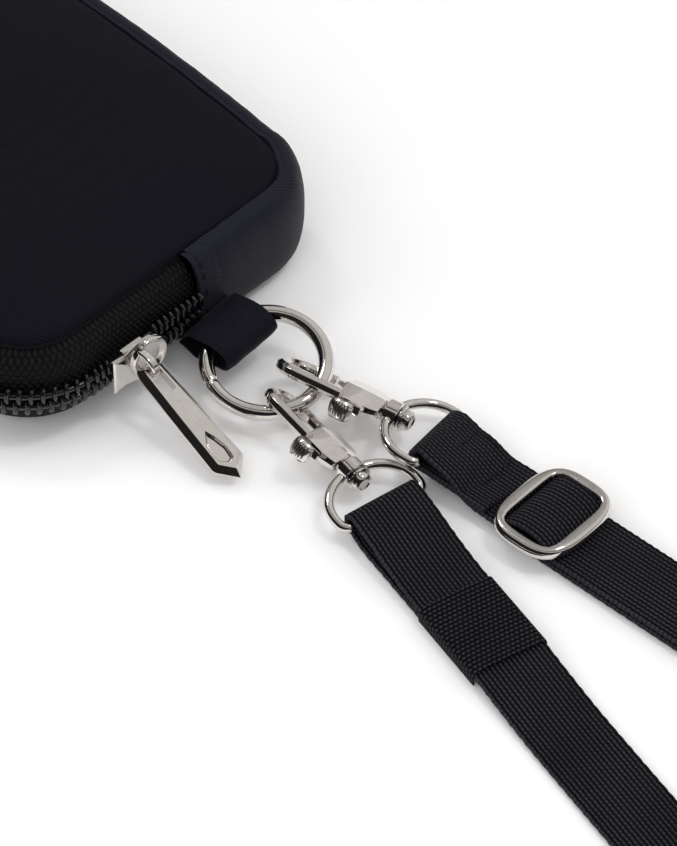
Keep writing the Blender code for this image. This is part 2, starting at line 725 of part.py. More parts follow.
def add_rectangular_ring(place, ring_z):
    """The flat ring that joins the two webbings."""
    centre = place(RECTANGULAR_RING_AT + 4.0, 0, ring_z)
    frame = add_frame("rectangular_ring_axis", centre, (0, 0, STRAP_A_HEADING))
    route = [(x, y, 0) for x, y in rounded_rectangle(4.0, 9.9, 1.6, 3)]
    ring = sweep(along(route, (0, 0, 1), closed=True), circle(1.2, 8), closed=True)
    add_object("rectangular_ring", ring, NICKEL, parent=frame)


def add_strap_b():
    """The strap on clip b, which leads to a roll, and from the roll to the rectangular ring."""
    middle, level = d_bar("b")
    place = on_strap((middle.x, middle.y), STRAP_B_HEADING)
    flat = place(0, 1) - place(0)
    under = 0.25 + WEB_THICK / 2
    top = under + WEB_THICK + GAP
    route = fold_route(place, middle, level, KEEPER_AT[0] + 4, under)
    fold_count = len(route)
    run = [(6.0, middle.z + 1.3), (14.0, top + 0.9), (22.0, top), (30.0, top), (40.0, top)]
    run += [(52.0, under + 0.6), (62.0, under), (90.0, under), (112.0, under)]
    route += [place(s, 0, z) for s, z in run]

    def across(i):
        share = min(1.0, max(0.0, (i - fold_count) / 4))
        return level.lerp(flat, share)

    flat_end = len(route) - 1
    entry = Vector((ROLL_CENTRE[0] - 3, ROLL_CENTRE[1] - ROLL_RADIUS - 2.2, 0))
    last = route[-1]
    route += [on_twist(last, entry, i / TWIST_STEPS) for i in range(1, TWIST_STEPS + 1)]

    def turned_across(i):
        return across(i) if i <= flat_end else twisted(flat, (i - flat_end) / TWIST_STEPS)

    band("strap_b_run", route, turned_across)
    add_keeper(place, top)


def twist_angle(share):
    """How far the webbing has turned on to its edge along a twist."""
    return math.pi / 2 * min(1.0, 1.2 * share)


def twisted(flat, share):
    angle = twist_angle(share)
    return flat * math.cos(angle) + Vector((0, 0, math.sin(angle)))


def twist_height(share):
    """The middle's height while the lower edge stays on the surface."""
    angle = twist_angle(share)
    edge = WEB_WIDTH / 2 * math.sin(angle) + WEB_THICK / 2 * math.cos(angle)
    return edge + 0.25 + (ROLL_FLOOR - 0.25) * share


def on_twist(flat_point, edge_point, share):
    level_point = flat_point.lerp(edge_point, share)
    return Vector((level_point.x, level_point.y, twist_height(share)))


def add_keeper(place, top):
    """A short sleeve of webbing over the sewn end."""
    low, high = KEEPER_AT
    frame = add_frame("keeper_axis", place((low + high) / 2, 0, 0), (0, 0, STRAP_B_HEADING))
    half = WEB_WIDTH / 2
    lid = top + WEB_THICK / 2 + GAP
    edge = half + GAP
    right = [(edge, lid + 1.2), (edge + 1.0, lid + 0.4), (edge + 1.0, 0.2)]
    outer = [(-y, z) for y, z in reversed(right)] + right
    inner = [(edge, 0.2), (edge, lid), (-edge, lid), (-edge, 0.2)]
    verts, faces = prism(outer + inner, -(high - low) / 2, (high - low) / 2)
    shape = [Vector((v.z, v.x, v.y)) for v in verts], faces
    add_object("keeper", shape, WEBBING, parent=frame)


def add_roll():
    """The stored length: webbing wound on edge, as its outer shape, with the tie that holds it."""
    centre = Vector((*ROLL_CENTRE, 0))
    top = ROLL_FLOOR + WEB_WIDTH
    disc = prism(circle(ROLL_RADIUS, 28), ROLL_FLOOR, top)
    core = prism(circle(ROLL_INNER, 16), ROLL_FLOOR - 2, top + 2)
    frame = add_frame("strap_roll_axis", centre)
    roll = add_object("strap_roll", disc, WEBBING, parent=frame)
    combine(roll, add_object("strap_roll_core", core, WEBBING, parent=frame), "DIFFERENCE")
    add_tie(centre)


def add_tie(centre):
    """An elastic band through the middle of the roll and round its outside."""
    low = ROLL_FLOOR - GAP - TIE_THICK / 2
    high = ROLL_FLOOR + WEB_WIDTH + GAP + TIE_THICK / 2
    near = ROLL_INNER - 2.2
    far = ROLL_RADIUS + 2 * GAP + TIE_THICK / 2
    route = [centre + Vector((x, 0, z)) for x, z in ((near, low), (far, low), (far, high), (near, high))]
    half = TIE_WIDTH / 2
    thin = TIE_THICK / 2
    diagonal = thin * math.sqrt(2)
    corners = ((-1, -1), (1, -1), (1, 1), (-1, 1))
    frames = []
    for here, (x, z) in zip(route, corners):
        out = Vector((x, 0, z)).normalized() * diagonal / thin
        frames.append((here, Vector((0, 1, 0)), out))
    section = [(half, thin), (-half, thin), (-half, -thin), (half, -thin)]
    add_object("roll_tie", sweep(frames, section, closed=True), LINING)


def bezier(corners, t):
    a, b, c, d = corners
    return a * (1 - t) ** 3 + b * 3 * t * (1 - t) ** 2 + c * 3 * t ** 2 * (1 - t) + d * t ** 3


def add_tail(ring_place):
    """The webbing from the roll back to the rectangular ring, turning from its edge to flat."""
    start_turn = math.radians(TAIL_LEAVES_AT)
    out = Vector((math.cos(start_turn), math.sin(start_turn), 0))
    leave = Vector((*ROLL_CENTRE, 0)) + out * (ROLL_RADIUS + 3 * GAP + WEB_THICK / 2)
    ahead = Vector((out.y, -out.x, 0))
    bar_middle = ring_place(RECTANGULAR_RING_AT + 8.0)
    arrive = ring_place(RECTANGULAR_RING_AT + 13.0)
    back = (ring_place(1) - ring_place(0)) * -1
    reach = (arrive - leave).length
    steps = TAIL_STEPS
    corners = (leave, leave + ahead * reach * 0.4, arrive - back * reach * 0.55, arrive)
    level = [bezier(corners, i / steps) for i in range(steps + 1)]
    top = 0.25 + WEB_THICK * 1.5 + GAP
    route = []
    shares = []
    for i, point in enumerate(level):
        edge = min(1.0, (steps - i) / (steps - 3))
        lift = (top - 0.25 - WEB_THICK / 2 + 1.7) * (1 - edge)
        route.append(Vector((point.x, point.y, twist_height(edge) + lift)))
        shares.append(edge)
    ring_z = top + 0.5
    wrap = 1.2 + GAP + WEB_THICK / 2
    for angle in (90, 135, 180, 225, 270):
        turn = math.radians(angle)
        height = ring_z + wrap * math.sin(turn)
        route.append(bar_middle - back * (wrap * math.cos(turn)) + Vector((0, 0, height)))
        shares.append(0.0)

    def across(i):
        if i > steps:
            return ring_place(0, 1) - ring_place(0)
        ahead_here = (level[min(i + 1, steps)] - level[max(i - 1, 0)]).normalized()
        return twisted(ahead_here.cross(Vector((0, 0, 1))), shares[i])

    band("strap_b_tail", route, across)


def main():
    clear_scene()
    add_panels()
    add_wall()
    face, height = add_slider()
    add_pull(face, height)
    add_tab()
    add_ring()
    add_clips()
    ring_place = add_strap_a()
    add_strap_b()
    add_roll()
    add_tail(ring_place)
    bpy.context.view_layer.update()


main()
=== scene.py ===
import math

import bmesh
import bpy
from mathutils import Matrix, Vector, noise


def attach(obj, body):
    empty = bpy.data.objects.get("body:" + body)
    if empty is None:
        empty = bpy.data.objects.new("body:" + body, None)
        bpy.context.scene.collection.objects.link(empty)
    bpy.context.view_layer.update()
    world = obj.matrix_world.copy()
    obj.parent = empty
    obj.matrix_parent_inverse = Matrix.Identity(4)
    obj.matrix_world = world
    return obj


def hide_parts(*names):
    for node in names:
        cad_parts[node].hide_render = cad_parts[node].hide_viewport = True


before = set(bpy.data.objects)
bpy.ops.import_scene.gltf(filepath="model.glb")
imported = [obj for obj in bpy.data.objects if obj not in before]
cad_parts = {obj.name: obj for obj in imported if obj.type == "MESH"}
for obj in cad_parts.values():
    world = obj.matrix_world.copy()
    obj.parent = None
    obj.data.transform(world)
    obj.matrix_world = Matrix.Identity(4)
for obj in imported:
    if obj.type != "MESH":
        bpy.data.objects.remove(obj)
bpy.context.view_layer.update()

# Lengths are in millimetres in the row frame, and MM turns them into metres where a mesh is made.
MM = 0.001
GAP = 0.3

# Camera: where it looks, how far away it stands and the directions it looks from
LOOK_AT = Vector((0.11887, 0.00656, 0.0))
CAMERA_DISTANCE = 0.920
CAMERA_AZIMUTH = 43.783
CAMERA_ELEVATION = 45.964
LENS = 204.6

# Pouch: the rectangle of the two panel seams and the wall between them
SEAM_HALF_LENGTH = 80.0
SEAM_HALF_WIDTH = 38.0
SEAM_RADIUS = 12.5
WALL_LOW = 2.6
WALL_HIGH = 20.2
WALL_BULGE = 4.2
SIDE_BOW = 4.0
TWILL_THICK = 0.9
WELT_SHARE = 0.06
PANEL_THICK = 1.1
PANEL_CROWN = 1.6
STRAIGHT_X = 2 * (SEAM_HALF_LENGTH - SEAM_RADIUS)
STRAIGHT_Y = 2 * (SEAM_HALF_WIDTH - SEAM_RADIUS)
QUARTER = SEAM_RADIUS * math.pi / 2
ROUND_TRIP = 2 * (STRAIGHT_X + STRAIGHT_Y) + 4 * QUARTER

# Zip
ZIP_START = -4.0
ZIP_END = STRAIGHT_Y / 2 + QUARTER + STRAIGHT_X - 20.0
TAPE_THICK = 0.8
COIL_THICK = 2.2
COIL_PITCH = 1.55
END_TAB_LENGTH = 4.5
SLIDER_Y = -15.8
SLIDER_HALF_LONG = 6.7
SLIDER_HALF_HIGH = 4.7
SLIDER_RIM_X = 2.3
SLIDER_RIM_RADIUS = 4.4
SLIDER_COVERS = 5.0
PLATE_THICK = 1.2
PULL_LENGTH = 26.5
PULL_WIDTH = 7.6
PULL_DROOP = 18.0
PULL_YAW = -5.0

# Tab and ring
TAB_WIDTH = 13.6
TAB_PLACE = (85.6, 3.8, 7.0)
TAB_ROLL = 6.0
TAB_PITCH = -13.0
RING_CENTRE = Vector((102.6, 3.6, 7.3))
RING_RADIUS = 11.5
RING_WIRE = 1.55
RING_TILT = 11.5
RING_TILT_HEADING = 43.8

# Swivel clips: nose, heading, pitch down, roll of the hook and of the D-ring
HOOK_HALF_WIDTH = 4.4
HOOK_BAR = 1.1
CLAW_END_X = 11.0
GATE_TIP_X = 11.8
PIVOT = (18.9, 3.2)
COLLAR_X = (24.2, 27.2)
D_BAR_X = 36.0
D_HALF_WIDTH = 10.3
D_WIRE = 1.0
D_DROP = 1.0
CLIPS = {
    "a": ((103.8, 5.9, 6.9), 12.0, 2.0, -39.0, -11.0),
    "b": ((107.6, 0.1, 5.8), -10.0, 1.9, -45.0, 0.0),
}

# Webbing
WEB_WIDTH = 15.6
WEB_THICK = 1.3
STRAP_A_HEADING = 1.4
STRAP_B_HEADING = -14.5
ADJUSTER_AT = 28.2
ADJUSTER_OUTER = (8.8, 10.9)
ADJUSTER_INNER = (6.0, 8.25)
RECTANGULAR_RING_AT = 101.0
RECTANGULAR_RING_HALF = (4.0, 9.9)
RECTANGULAR_RING_WIRE = 1.2
SEWN_END_AT = 18.0
KEEPER_AT = (24.5, 43.0)
TWIST_STEPS = 8
ROLL_CENTRE = Vector((322.0, 6.0, 0.0))
ROLL_RADIUS = 40.4
ROLL_INNER = 7.0
ROLL_FLOOR = 0.9
ROLL_TURNS_TO = 810.0
ROLL_CORE = 9.0
TAIL_LEAVES_AT = 222.0
TAIL_LET_GO = 40.0
TAIL_STEPS = 14
TIE_WIDTH = 8.0
TIE_THICK = 0.4
UNDER = 0.25 + WEB_THICK / 2
TOP = UNDER + WEB_THICK + GAP
TAIL_RADIUS = ROLL_RADIUS + 3 * GAP + WEB_THICK / 2
RECTANGULAR_RING_Z = TOP + 0.5
RECTANGULAR_RING_WRAP = RECTANGULAR_RING_WIRE + GAP + WEB_THICK / 2
UP = Vector((0, 0, 1))


# ---------------------------------------------------------------- materials
class Nodes:
    """A material's node tree, with short calls for the nodes that the looks are made of."""

    def __init__(self, name, colour, metallic=0.0, roughness=0.5):
        self.material = bpy.data.materials.new(name)
        self.material.use_nodes = True
        self.tree = self.material.node_tree
        self.shader = self.tree.nodes["Principled BSDF"]
        self.shader.inputs["Base Color"].default_value = (*colour, 1.0)
        self.shader.inputs["Metallic"].default_value = metallic
        self.shader.inputs["Roughness"].default_value = roughness

    def add(self, kind, **settings):
        node = self.tree.nodes.new(kind)
        for key, value in settings.items():
            setattr(node, key, value)
        return node

    def put(self, value, socket):
        if hasattr(value, "is_output"):
            self.tree.links.new(value, socket)
        else:
            socket.default_value = value

    def math(self, operation, a, b=0.0):
        node = self.add("ShaderNodeMath", operation=operation)
        self.put(a, node.inputs[0])
        self.put(b, node.inputs[1])
        return node.outputs[0]

    def uv(self):
        """The two surface coordinates, in millimetres."""
        split = self.add("ShaderNodeSeparateXYZ")
        self.put(self.add("ShaderNodeUVMap").outputs[0], split.inputs[0])
        return split.outputs[0], split.outputs[1]

    def object_noise(self, scale, detail=2.0):
        """Noise in the object's own space; scale is in lumps per metre."""
        node = self.add("ShaderNodeTexNoise")
        place = self.add("ShaderNodeTexCoord").outputs["Object"]
        self.put(place, node.inputs["Vector"])
        node.inputs["Scale"].default_value = scale
        node.inputs["Detail"].default_value = detail
        return node.outputs[0]

    def wave(self, value, period, shift=0.0):
        """A sine from 0 to 1 along a coordinate."""
        turned = self.math("MULTIPLY", value, math.tau / period)
        moved = self.math("ADD", turned, shift)
        half = self.math("MULTIPLY", self.math("SINE", moved), 0.5)
        return self.math("ADD", half, 0.5)

    def blend(self, share, low, high):
        node = self.add("ShaderNodeMix", data_type="RGBA")
        self.put(share, node.inputs["Factor"])
        self.put((*low, 1.0), node.inputs["A"])
        self.put((*high, 1.0), node.inputs["B"])
        return node.outputs["Result"]

    def between(self, share, low, high):
        return self.math("ADD", self.math("MULTIPLY", share, high - low), low)

    def bump(self, height, distance):
        """Raises the surface by height times distance, in millimetres."""
        node = self.add("ShaderNodeBump")
        node.inputs["Strength"].default_value = 1.0
        node.inputs["Distance"].default_value = distance * MM
        self.put(height, node.inputs["Height"])
        self.put(node.outputs[0], self.shader.inputs["Normal"])

    def cloth(self, gloss=0.22, sheen=0.03):
        """Fabric throws back little of the room."""
        self.set("Specular IOR Level", gloss)
        self.set("Sheen Weight", sheen)
        self.set("Sheen Roughness", 0.4)

    def set(self, socket, value):
        self.put(value, self.shader.inputs[socket])


def twill(name, across, along, pitch=0.62, depth=1.0):
    """Fine diagonal twill; across and along say how the diagonal lies on the two coordinates."""
    n = Nodes(name, (0.012, 0.013, 0.018), roughness=0.62)
    u, v = n.uv()
    diagonal = n.math("ADD", n.math("MULTIPLY", u, across), n.math("MULTIPLY", v, along))
    rows = n.wave(diagonal, pitch)
    steps = n.wave(n.math("SUBTRACT", n.math("MULTIPLY", u, along), n.math("MULTIPLY", v, across)), 0.5)
    cloud = n.object_noise(26.0, 3.0)
    thread = n.math("ADD", n.math("MULTIPLY", rows, 0.8), n.math("MULTIPLY", steps, 0.2))
    tone = n.math("ADD", n.math("MULTIPLY", thread, 0.55), n.math("MULTIPLY", cloud, 0.5))
    dark = tuple(c * depth for c in (0.0016, 0.0017, 0.0026))
    pale = tuple(c * depth for c in (0.0092, 0.0100, 0.0225))
    n.set("Base Color", n.blend(tone, dark, pale))
    n.set("Roughness", n.between(cloud, 0.55, 0.75))
    n.cloth(0.22 * depth)
    n.bump(thread, 0.09)
    return n.material


def webbing(name="webbing", between_beads=0.45, pitch=0.9):
    """Ribs along the webbing, each a row of small beads that lie between those of its neighbours; the colour
    is painted highlight on the bead tops and painted shade between them.
    """
    n = Nodes(name, (0.012, 0.012, 0.015), roughness=0.55)
    u, v = n.uv()
    rib = n.math("ABSOLUTE", n.math("SINE", n.math("MULTIPLY", u, math.pi / pitch)))
    odd = n.math("MULTIPLY", n.math("FLOOR", n.math("DIVIDE", u, pitch)), math.pi)
    bead = n.wave(v, pitch * 1.1, odd)
    height = n.math("MULTIPLY", n.math("POWER", rib, 2.0), n.between(bead, between_beads, 1.0))
    cloud = n.object_noise(90.0, 2.0)
    tone = n.math("MULTIPLY", height, n.between(cloud, 0.6, 1.2))
    # Painted highlight and shade: the colour follows the weave's height, near black in the gaps and pale on
    # the bead tops, and the cloud adds a random tone.
    n.set("Base Color", n.blend(tone, (0.0001, 0.0001, 0.0002), (0.046, 0.046, 0.056)))
    n.set("Roughness", n.between(cloud, 0.45, 0.6))
    n.cloth(0.04, 0.0)
    n.bump(height, 0.32)
    return n.material


def zip_tape():
    """Knitted tape: rows of small stitches that lie between those of the next row, with painted highlights on
    the stitch tops and painted shade between them.
    """
    n = Nodes("zip_tape", (0.008, 0.008, 0.010), roughness=0.7)
    u, v = n.uv()
    row = n.math("FLOOR", n.math("DIVIDE", v, 1.1))
    bead = n.wave(u, 1.15, n.math("MULTIPLY", row, math.pi))
    ridge = n.math("ABSOLUTE", n.math("SINE", n.math("MULTIPLY", v, math.pi / 1.1)))
    height = n.math("MULTIPLY", n.math("POWER", ridge, 0.7), bead)
    cloud = n.object_noise(700.0, 2.0)
    # Painted highlight and shade: the colour follows the stitches' height, dark between them and pale on
    # their tops, and the cloud adds a random tone.
    tone = n.math("MULTIPLY", height, n.between(cloud, 0.4, 1.4))
    n.set("Base Color", n.blend(tone, (0.0005, 0.0005, 0.0006), (0.0085, 0.0085, 0.0100)))
    n.cloth(0.2, 0.0)
    n.bump(n.math("ADD", height, n.math("MULTIPLY", cloud, 0.5)), 0.4)
    return n.material


def plain(name, colour, roughness, grain, metallic=0.0, bump=0.02, gloss=0.5):
    """One material with a slow change of tone, a change of gloss and a fine grain."""
    n = Nodes(name, colour, metallic, roughness)
    n.set("Specular IOR Level", gloss)
    cloud = n.object_noise(grain, 3.0)
    darker = tuple(c * 0.75 for c in colour)
    n.set("Base Color", n.blend(cloud, darker, tuple(min(1.0, c * 1.15) for c in colour)))
    n.set("Roughness", n.between(cloud, roughness * 0.75, roughness * 1.3))
    n.bump(cloud, bump)
    return n.material


def nickel(name="nickel", roughness=0.08, tone=1.0):
    """Polished nickel plate: even, slightly warm, with faint ripples of casting and polishing."""
    n = Nodes(name, (0.70, 0.67, 0.64), 1.0, roughness)
    ripple = n.object_noise(160.0, 1.0)
    haze = n.object_noise(900.0, 3.0)
    dull = tuple(c * tone for c in (0.66, 0.63, 0.60))
    clean = tuple(c * tone for c in (0.80, 0.77, 0.74))
    n.set("Base Color", n.blend(haze, dull, clean))
    n.set("Roughness", n.between(haze, roughness * 0.6, roughness * 1.5))
    n.bump(ripple, 0.10)
    return n.material


TWILL_TOP = twill("twill_top", 0.64, -0.77, depth=0.45)
TWILL_WALL = twill("twill_wall", 0.80, -0.60)
TWILL_FLAP = twill("twill_flap", 0.80, 0.60, 0.46)
TWILL_TAB = twill("twill_tab", 0.80, 0.60, 0.46, 0.6)
WEBBING = webbing()
# The keeper's webbing: a low between_beads darkens the painted shade between the beads, so the painted
# highlights on the bead tops read as a grid.
WEBBING_PAINTED_LIGHT_GRID = webbing("webbing_painted_light_grid", 0.12, 0.95)
TAPE = zip_tape()
COIL = plain("zip_coil", (0.004, 0.004, 0.005), 0.13, 400.0)
LINING = plain("lining", (0.004, 0.004, 0.005), 0.7, 300.0, gloss=0.12)
FOAM = plain("foam", (0.10, 0.10, 0.11), 0.9, 800.0, bump=0.2)
THREAD = plain("thread", (0.005, 0.005, 0.007), 0.6, 900.0, gloss=0.2)
NICKEL = nickel()
SATIN = nickel("satin_nickel", 0.30, 0.62)
BRUSHED = nickel("brushed_nickel", 0.22, 1.1)
SPRING = plain("spring_steel", (0.45, 0.45, 0.45), 0.3, 300.0, metallic=1.0)


# ---------------------------------------------------------------- building blocks
def mesh_of(name, shape, place=None):
    """A mesh from (verts, faces) in millimetres, with its faces turned outwards."""
    verts, faces = shape
    if place is not None:
        verts = [place @ Vector(v) for v in verts]
    mesh = bpy.data.meshes.new(name)
    mesh.from_pydata([Vector(v) * MM for v in verts], [], faces)
    outward = bmesh.new()
    outward.from_mesh(mesh)
    bmesh.ops.recalc_face_normals(outward, faces=outward.faces)
    outward.to_mesh(mesh)
    outward.free()
    return mesh


def piece(name, shape, look, body, slot, replaces=(), uvs=None, place=None, crease=40, bevel=0.0):
    """An object that rides on a body; place moves the shape, uvs are in millimetres for each vertex."""
    mesh = mesh_of(name, shape, place)
    if uvs:
        layer = mesh.uv_layers.new(name="UVMap")
        for loop in mesh.loops:
            layer.data[loop.index].uv = uvs[loop.vertex_index]
    mesh.shade_smooth()
    if crease:
        mesh.set_sharp_from_angle(angle=math.radians(crease))
    made = bpy.data.objects.new(name, mesh)
    bpy.context.collection.objects.link(made)
    made.data.materials.append(look)
    if bevel:
        round_edges(made, bevel)
    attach(made, body)
    if replaces:
        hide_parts(*replaces)
    return made


def metal(name, shape, body, replaces=(), place=None, look=None, **edges):
    """A polished piece, in nickel unless another look is given."""
    return piece(name, shape, look or NICKEL, body, "polished_nickel", replaces, place=place, **edges)


def twill_piece(name, shape, look, replaces, uvs, place=None, **edges):
    """A piece of the pouch's fabric."""
    return piece(name, shape, look, "pouch", "black_twill", replaces, uvs, place, **edges)


def webbing_piece(name, route, sides, replaces, body="pouch", place=None):
    """Webbing along a route; the side directions say which way its width lies."""
    shape, uvs = webbing_shape(route, sides)
    return piece(name, shape, WEBBING, body, "black_webbing", replaces, uvs, place, crease=0)


def repaint(node, look):
    """Gives a CAD piece that is shown as it is its material."""
    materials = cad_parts[node].data.materials
    materials.clear()
    materials.append(look)


def round_edges(made, width):
    """Rounds the edges that turn by more than 28 degrees."""
    bevel = made.modifiers.new("bevel", "BEVEL")
    bevel.width = width * MM
    bevel.segments = 2
    bevel.limit_method = "ANGLE"
    bevel.angle_limit = math.radians(28)
    bevel.harden_normals = True


def cut(made, shape, place):
    """Takes a shape out of a piece, for good."""
    tool = bpy.data.objects.new("cutter", mesh_of("cutter", shape, place))
    bpy.context.collection.objects.link(tool)
    change = made.modifiers.new("cut", "BOOLEAN")
    change.operation = "DIFFERENCE"
    change.object = tool
    bpy.context.view_layer.objects.active = made
    bpy.ops.object.modifier_move_to_index(modifier="cut", index=0)
    bpy.ops.object.modifier_apply(modifier="cut")
    bpy.data.objects.remove(tool)


def joined(*shapes):
    """Several shapes as one."""
    verts = []
    faces = []
    for more, sides in shapes:
        start = len(verts)
        verts += more
        faces += [tuple(start + i for i in side) for side in sides]
    return verts, faces


def loops_to_shape(loops, closed=False):
    """Faces between loops that have the same number of points, with a face at both ends unless closed."""
    count = len(loops[0])
    verts = [Vector(v) for loop in loops for v in loop]
    faces = []
    total = len(loops)
    for i in range(total if closed else total - 1):
        here = i * count
        there = (i + 1) % total * count
        for j in range(count):
            k = (j + 1) % count
            faces.append((here + j, here + k, there + k, there + j))
    if not closed:
        faces.append(tuple(range(count)))
        faces.append(tuple(range(len(verts) - count, len(verts))))
    return verts, faces


def sweep(frames, section, closed=False):
    """A section of (a, b) pairs carried along frames of (centre, a axis, b axis)."""
    return loops_to_shape([[c + u * a + w * b for a, b in section] for c, u, w in frames], closed=closed)


def along(points, up, closed=False):
    """Frames along a route of points, with the b axis as near to up as it can be."""
    route = [Vector(p) for p in points]
    frames = []
    for i, here in enumerate(route):
        before = route[i - 1] if closed or i else here
        after = route[(i + 1) % len(route)] if closed or i + 1 < len(route) else here
        ahead = (after - before).normalized()
        side = ahead.cross(Vector(up)).normalized()
        frames.append((here, side, side.cross(ahead)))
    return frames


def ahead_at(route, i):
    """The direction of an open route at one of its points."""
    return (route[min(i + 1, len(route) - 1)] - route[max(i - 1, 0)]).normalized()


def walked(route):
    """Each point of an open route with the direction there and the distance travelled to it."""
    travelled = 0.0
    for i, here in enumerate(route):
        travelled += (here - route[max(i - 1, 0)]).length
        yield here, ahead_at(route, i), travelled


def sheet(rows):
    """A cloth from rows of (outer point, inner point, surface coordinates): its shape and coordinates."""
    loops = []
    uvs = []
    for row in rows:
        outer, inner, coordinates = zip(*row)
        loops.append([*outer, *reversed(inner)])
        uvs += [*coordinates, *reversed(coordinates)]
    return loops_to_shape(loops), uvs


def circle(radius, steps, other=None):
    """A circle, or an oval when its other radius is given."""
    turns = [math.tau * i / steps for i in range(steps)]
    return [(radius * math.cos(a), (other or radius) * math.sin(a)) for a in turns]


def bar(half_width, half_thick, chamfer):
    """An eight-sided section: a rectangle with its corners cut."""
    w, h, c = half_width, half_thick, chamfer
    upper = [(w, h - c), (w - c, h), (c - w, h), (-w, h - c)]
    return upper + [(-a, -b) for a, b in upper]


def arc(centre, radius, start, end, steps):
    """Points of an arc between two angles in degrees, both ends included."""
    turns = [math.radians(start + (end - start) * i / steps) for i in range(steps + 1)]
    return [(centre[0] + radius * math.cos(a), centre[1] + radius * math.sin(a)) for a in turns]


def rounded_rectangle(half_x, half_y, radius, steps):
    """An anticlockwise rectangle with steps + 1 points on each corner."""
    points = []
    for x, y, start in ((1, 1, 0), (-1, 1, 90), (-1, -1, 180), (1, -1, 270)):
        points += arc((x * (half_x - radius), y * (half_y - radius)), radius, start, start + 90, steps)
    return points


def squarish(half_x, half_y, power, steps):
    """A rectangle whose sides bow out and whose corners are round; a higher power is squarer."""
    points = []
    for i in range(steps):
        a = math.tau * i / steps
        c, w = math.cos(a), math.sin(a)
        reach = (abs(c) ** power + abs(w) ** power) ** (-1 / power)
        points.append((half_x * c * reach, half_y * w * reach))
    return points


def stack(levels, closed=False):
    """A solid from (outline, height) pairs; a closed one runs from its last outline back to its first."""
    return loops_to_shape([[Vector((x, y, z)) for x, y in outline] for outline, z in levels], closed=closed)


def box(low, high):
    """A block between two corners."""
    outline = [(low[0], low[1]), (high[0], low[1]), (high[0], high[1]), (low[0], high[1])]
    return stack([(outline, low[2]), (outline, high[2])])


def inset(outline, by):
    """An outline moved towards its inside by a distance, for convex outlines that go anticlockwise."""
    moved = []
    count = len(outline)
    for i, (x, y) in enumerate(outline):
        px, py = outline[i - 1]
        nx, ny = outline[(i + 1) % count]
        first = Vector((py - y, x - px)).normalized()
        second = Vector((y - ny, nx - x)).normalized()
        between = (first + second).normalized()
        reach = by / max(0.4, between.dot(first))
        moved.append((x + between.x * reach, y + between.y * reach))
    return moved


def turned(profile, steps):
    """A solid turned about x from (x, radius) pairs."""
    loops = [[Vector((x, a, b)) for a, b in circle(max(r, 0.01), steps)] for x, r in profile]
    return loops_to_shape(loops)


def place_of(spot, roll=0.0, pitch=0.0, heading=0.0):
    """A placing matrix in millimetres; angles are in degrees."""
    turn = Matrix.Rotation(math.radians(heading), 4, "Z") @ Matrix.Rotation(math.radians(pitch), 4, "Y")
    return Matrix.Translation(Vector(spot)) @ turn @ Matrix.Rotation(math.radians(roll), 4, "X")


def smooth_route(points, sides, step):
    """Points every step or so on a smooth curve through the points, with the side directions between."""
    route = []
    across = []
    count = len(points)
    for i in range(count - 1):
        p0 = points[max(i - 1, 0)]
        p1, p2 = points[i], points[i + 1]
        p3 = points[min(i + 2, count - 1)]
        pieces = max(1, round((p2 - p1).length / step))
        reach = (p2 - p1).length
        before = (p2 - p0).normalized() * reach
        after = (p3 - p1).normalized() * reach
        for k in range(pieces):
            t = k / pieces
            h1 = 2 * t ** 3 - 3 * t ** 2 + 1
            h2 = t ** 3 - 2 * t ** 2 + t
            h3 = -2 * t ** 3 + 3 * t ** 2
            h4 = t ** 3 - t ** 2
            route.append(p1 * h1 + before * h2 + p2 * h3 + after * h4)
            across.append(sides[i].lerp(sides[i + 1], t))
    return route + [points[-1]], across + [sides[-1]]


def stitches(name, spots, body, slot, length=1.9, radius=0.2):
    """Threads: each is a small spindle at (place, direction, out)."""
    shapes = []
    for here, ahead, out in spots:
        side = ahead.cross(out).normalized()
        loops = []
        for t, wide in ((-1, 0.15), (-0.8, 0.75), (0, 1.0), (0.8, 0.75), (1, 0.15)):
            centre = here + ahead * (t * length / 2) - out * (0.25 * t * t * radius * 4)
            loops.append([centre + side * a * wide + out * b * wide for a, b in circle(radius, 6)])
        shapes.append(loops_to_shape(loops))
    return piece(name, joined(*shapes), THREAD, body, slot, crease=0)


# ---------------------------------------------------------------- pouch
def seam_stations():
    """The distance along the seam at which each straight and each corner starts."""
    stations = [0.0, STRAIGHT_Y / 2]
    for length in (QUARTER, STRAIGHT_X, QUARTER, STRAIGHT_Y, QUARTER, STRAIGHT_X, QUARTER, STRAIGHT_Y / 2):
        stations.append(stations[-1] + length)
    return stations


STATIONS = seam_stations()


def bow(x, y):
    """How far the padding pushes the long side without a zip outwards."""
    if y < SEAM_HALF_WIDTH - SEAM_RADIUS:
        return 0.0
    return SIDE_BOW * max(0.0, 1 - (x / (STRAIGHT_X / 2)) ** 2)


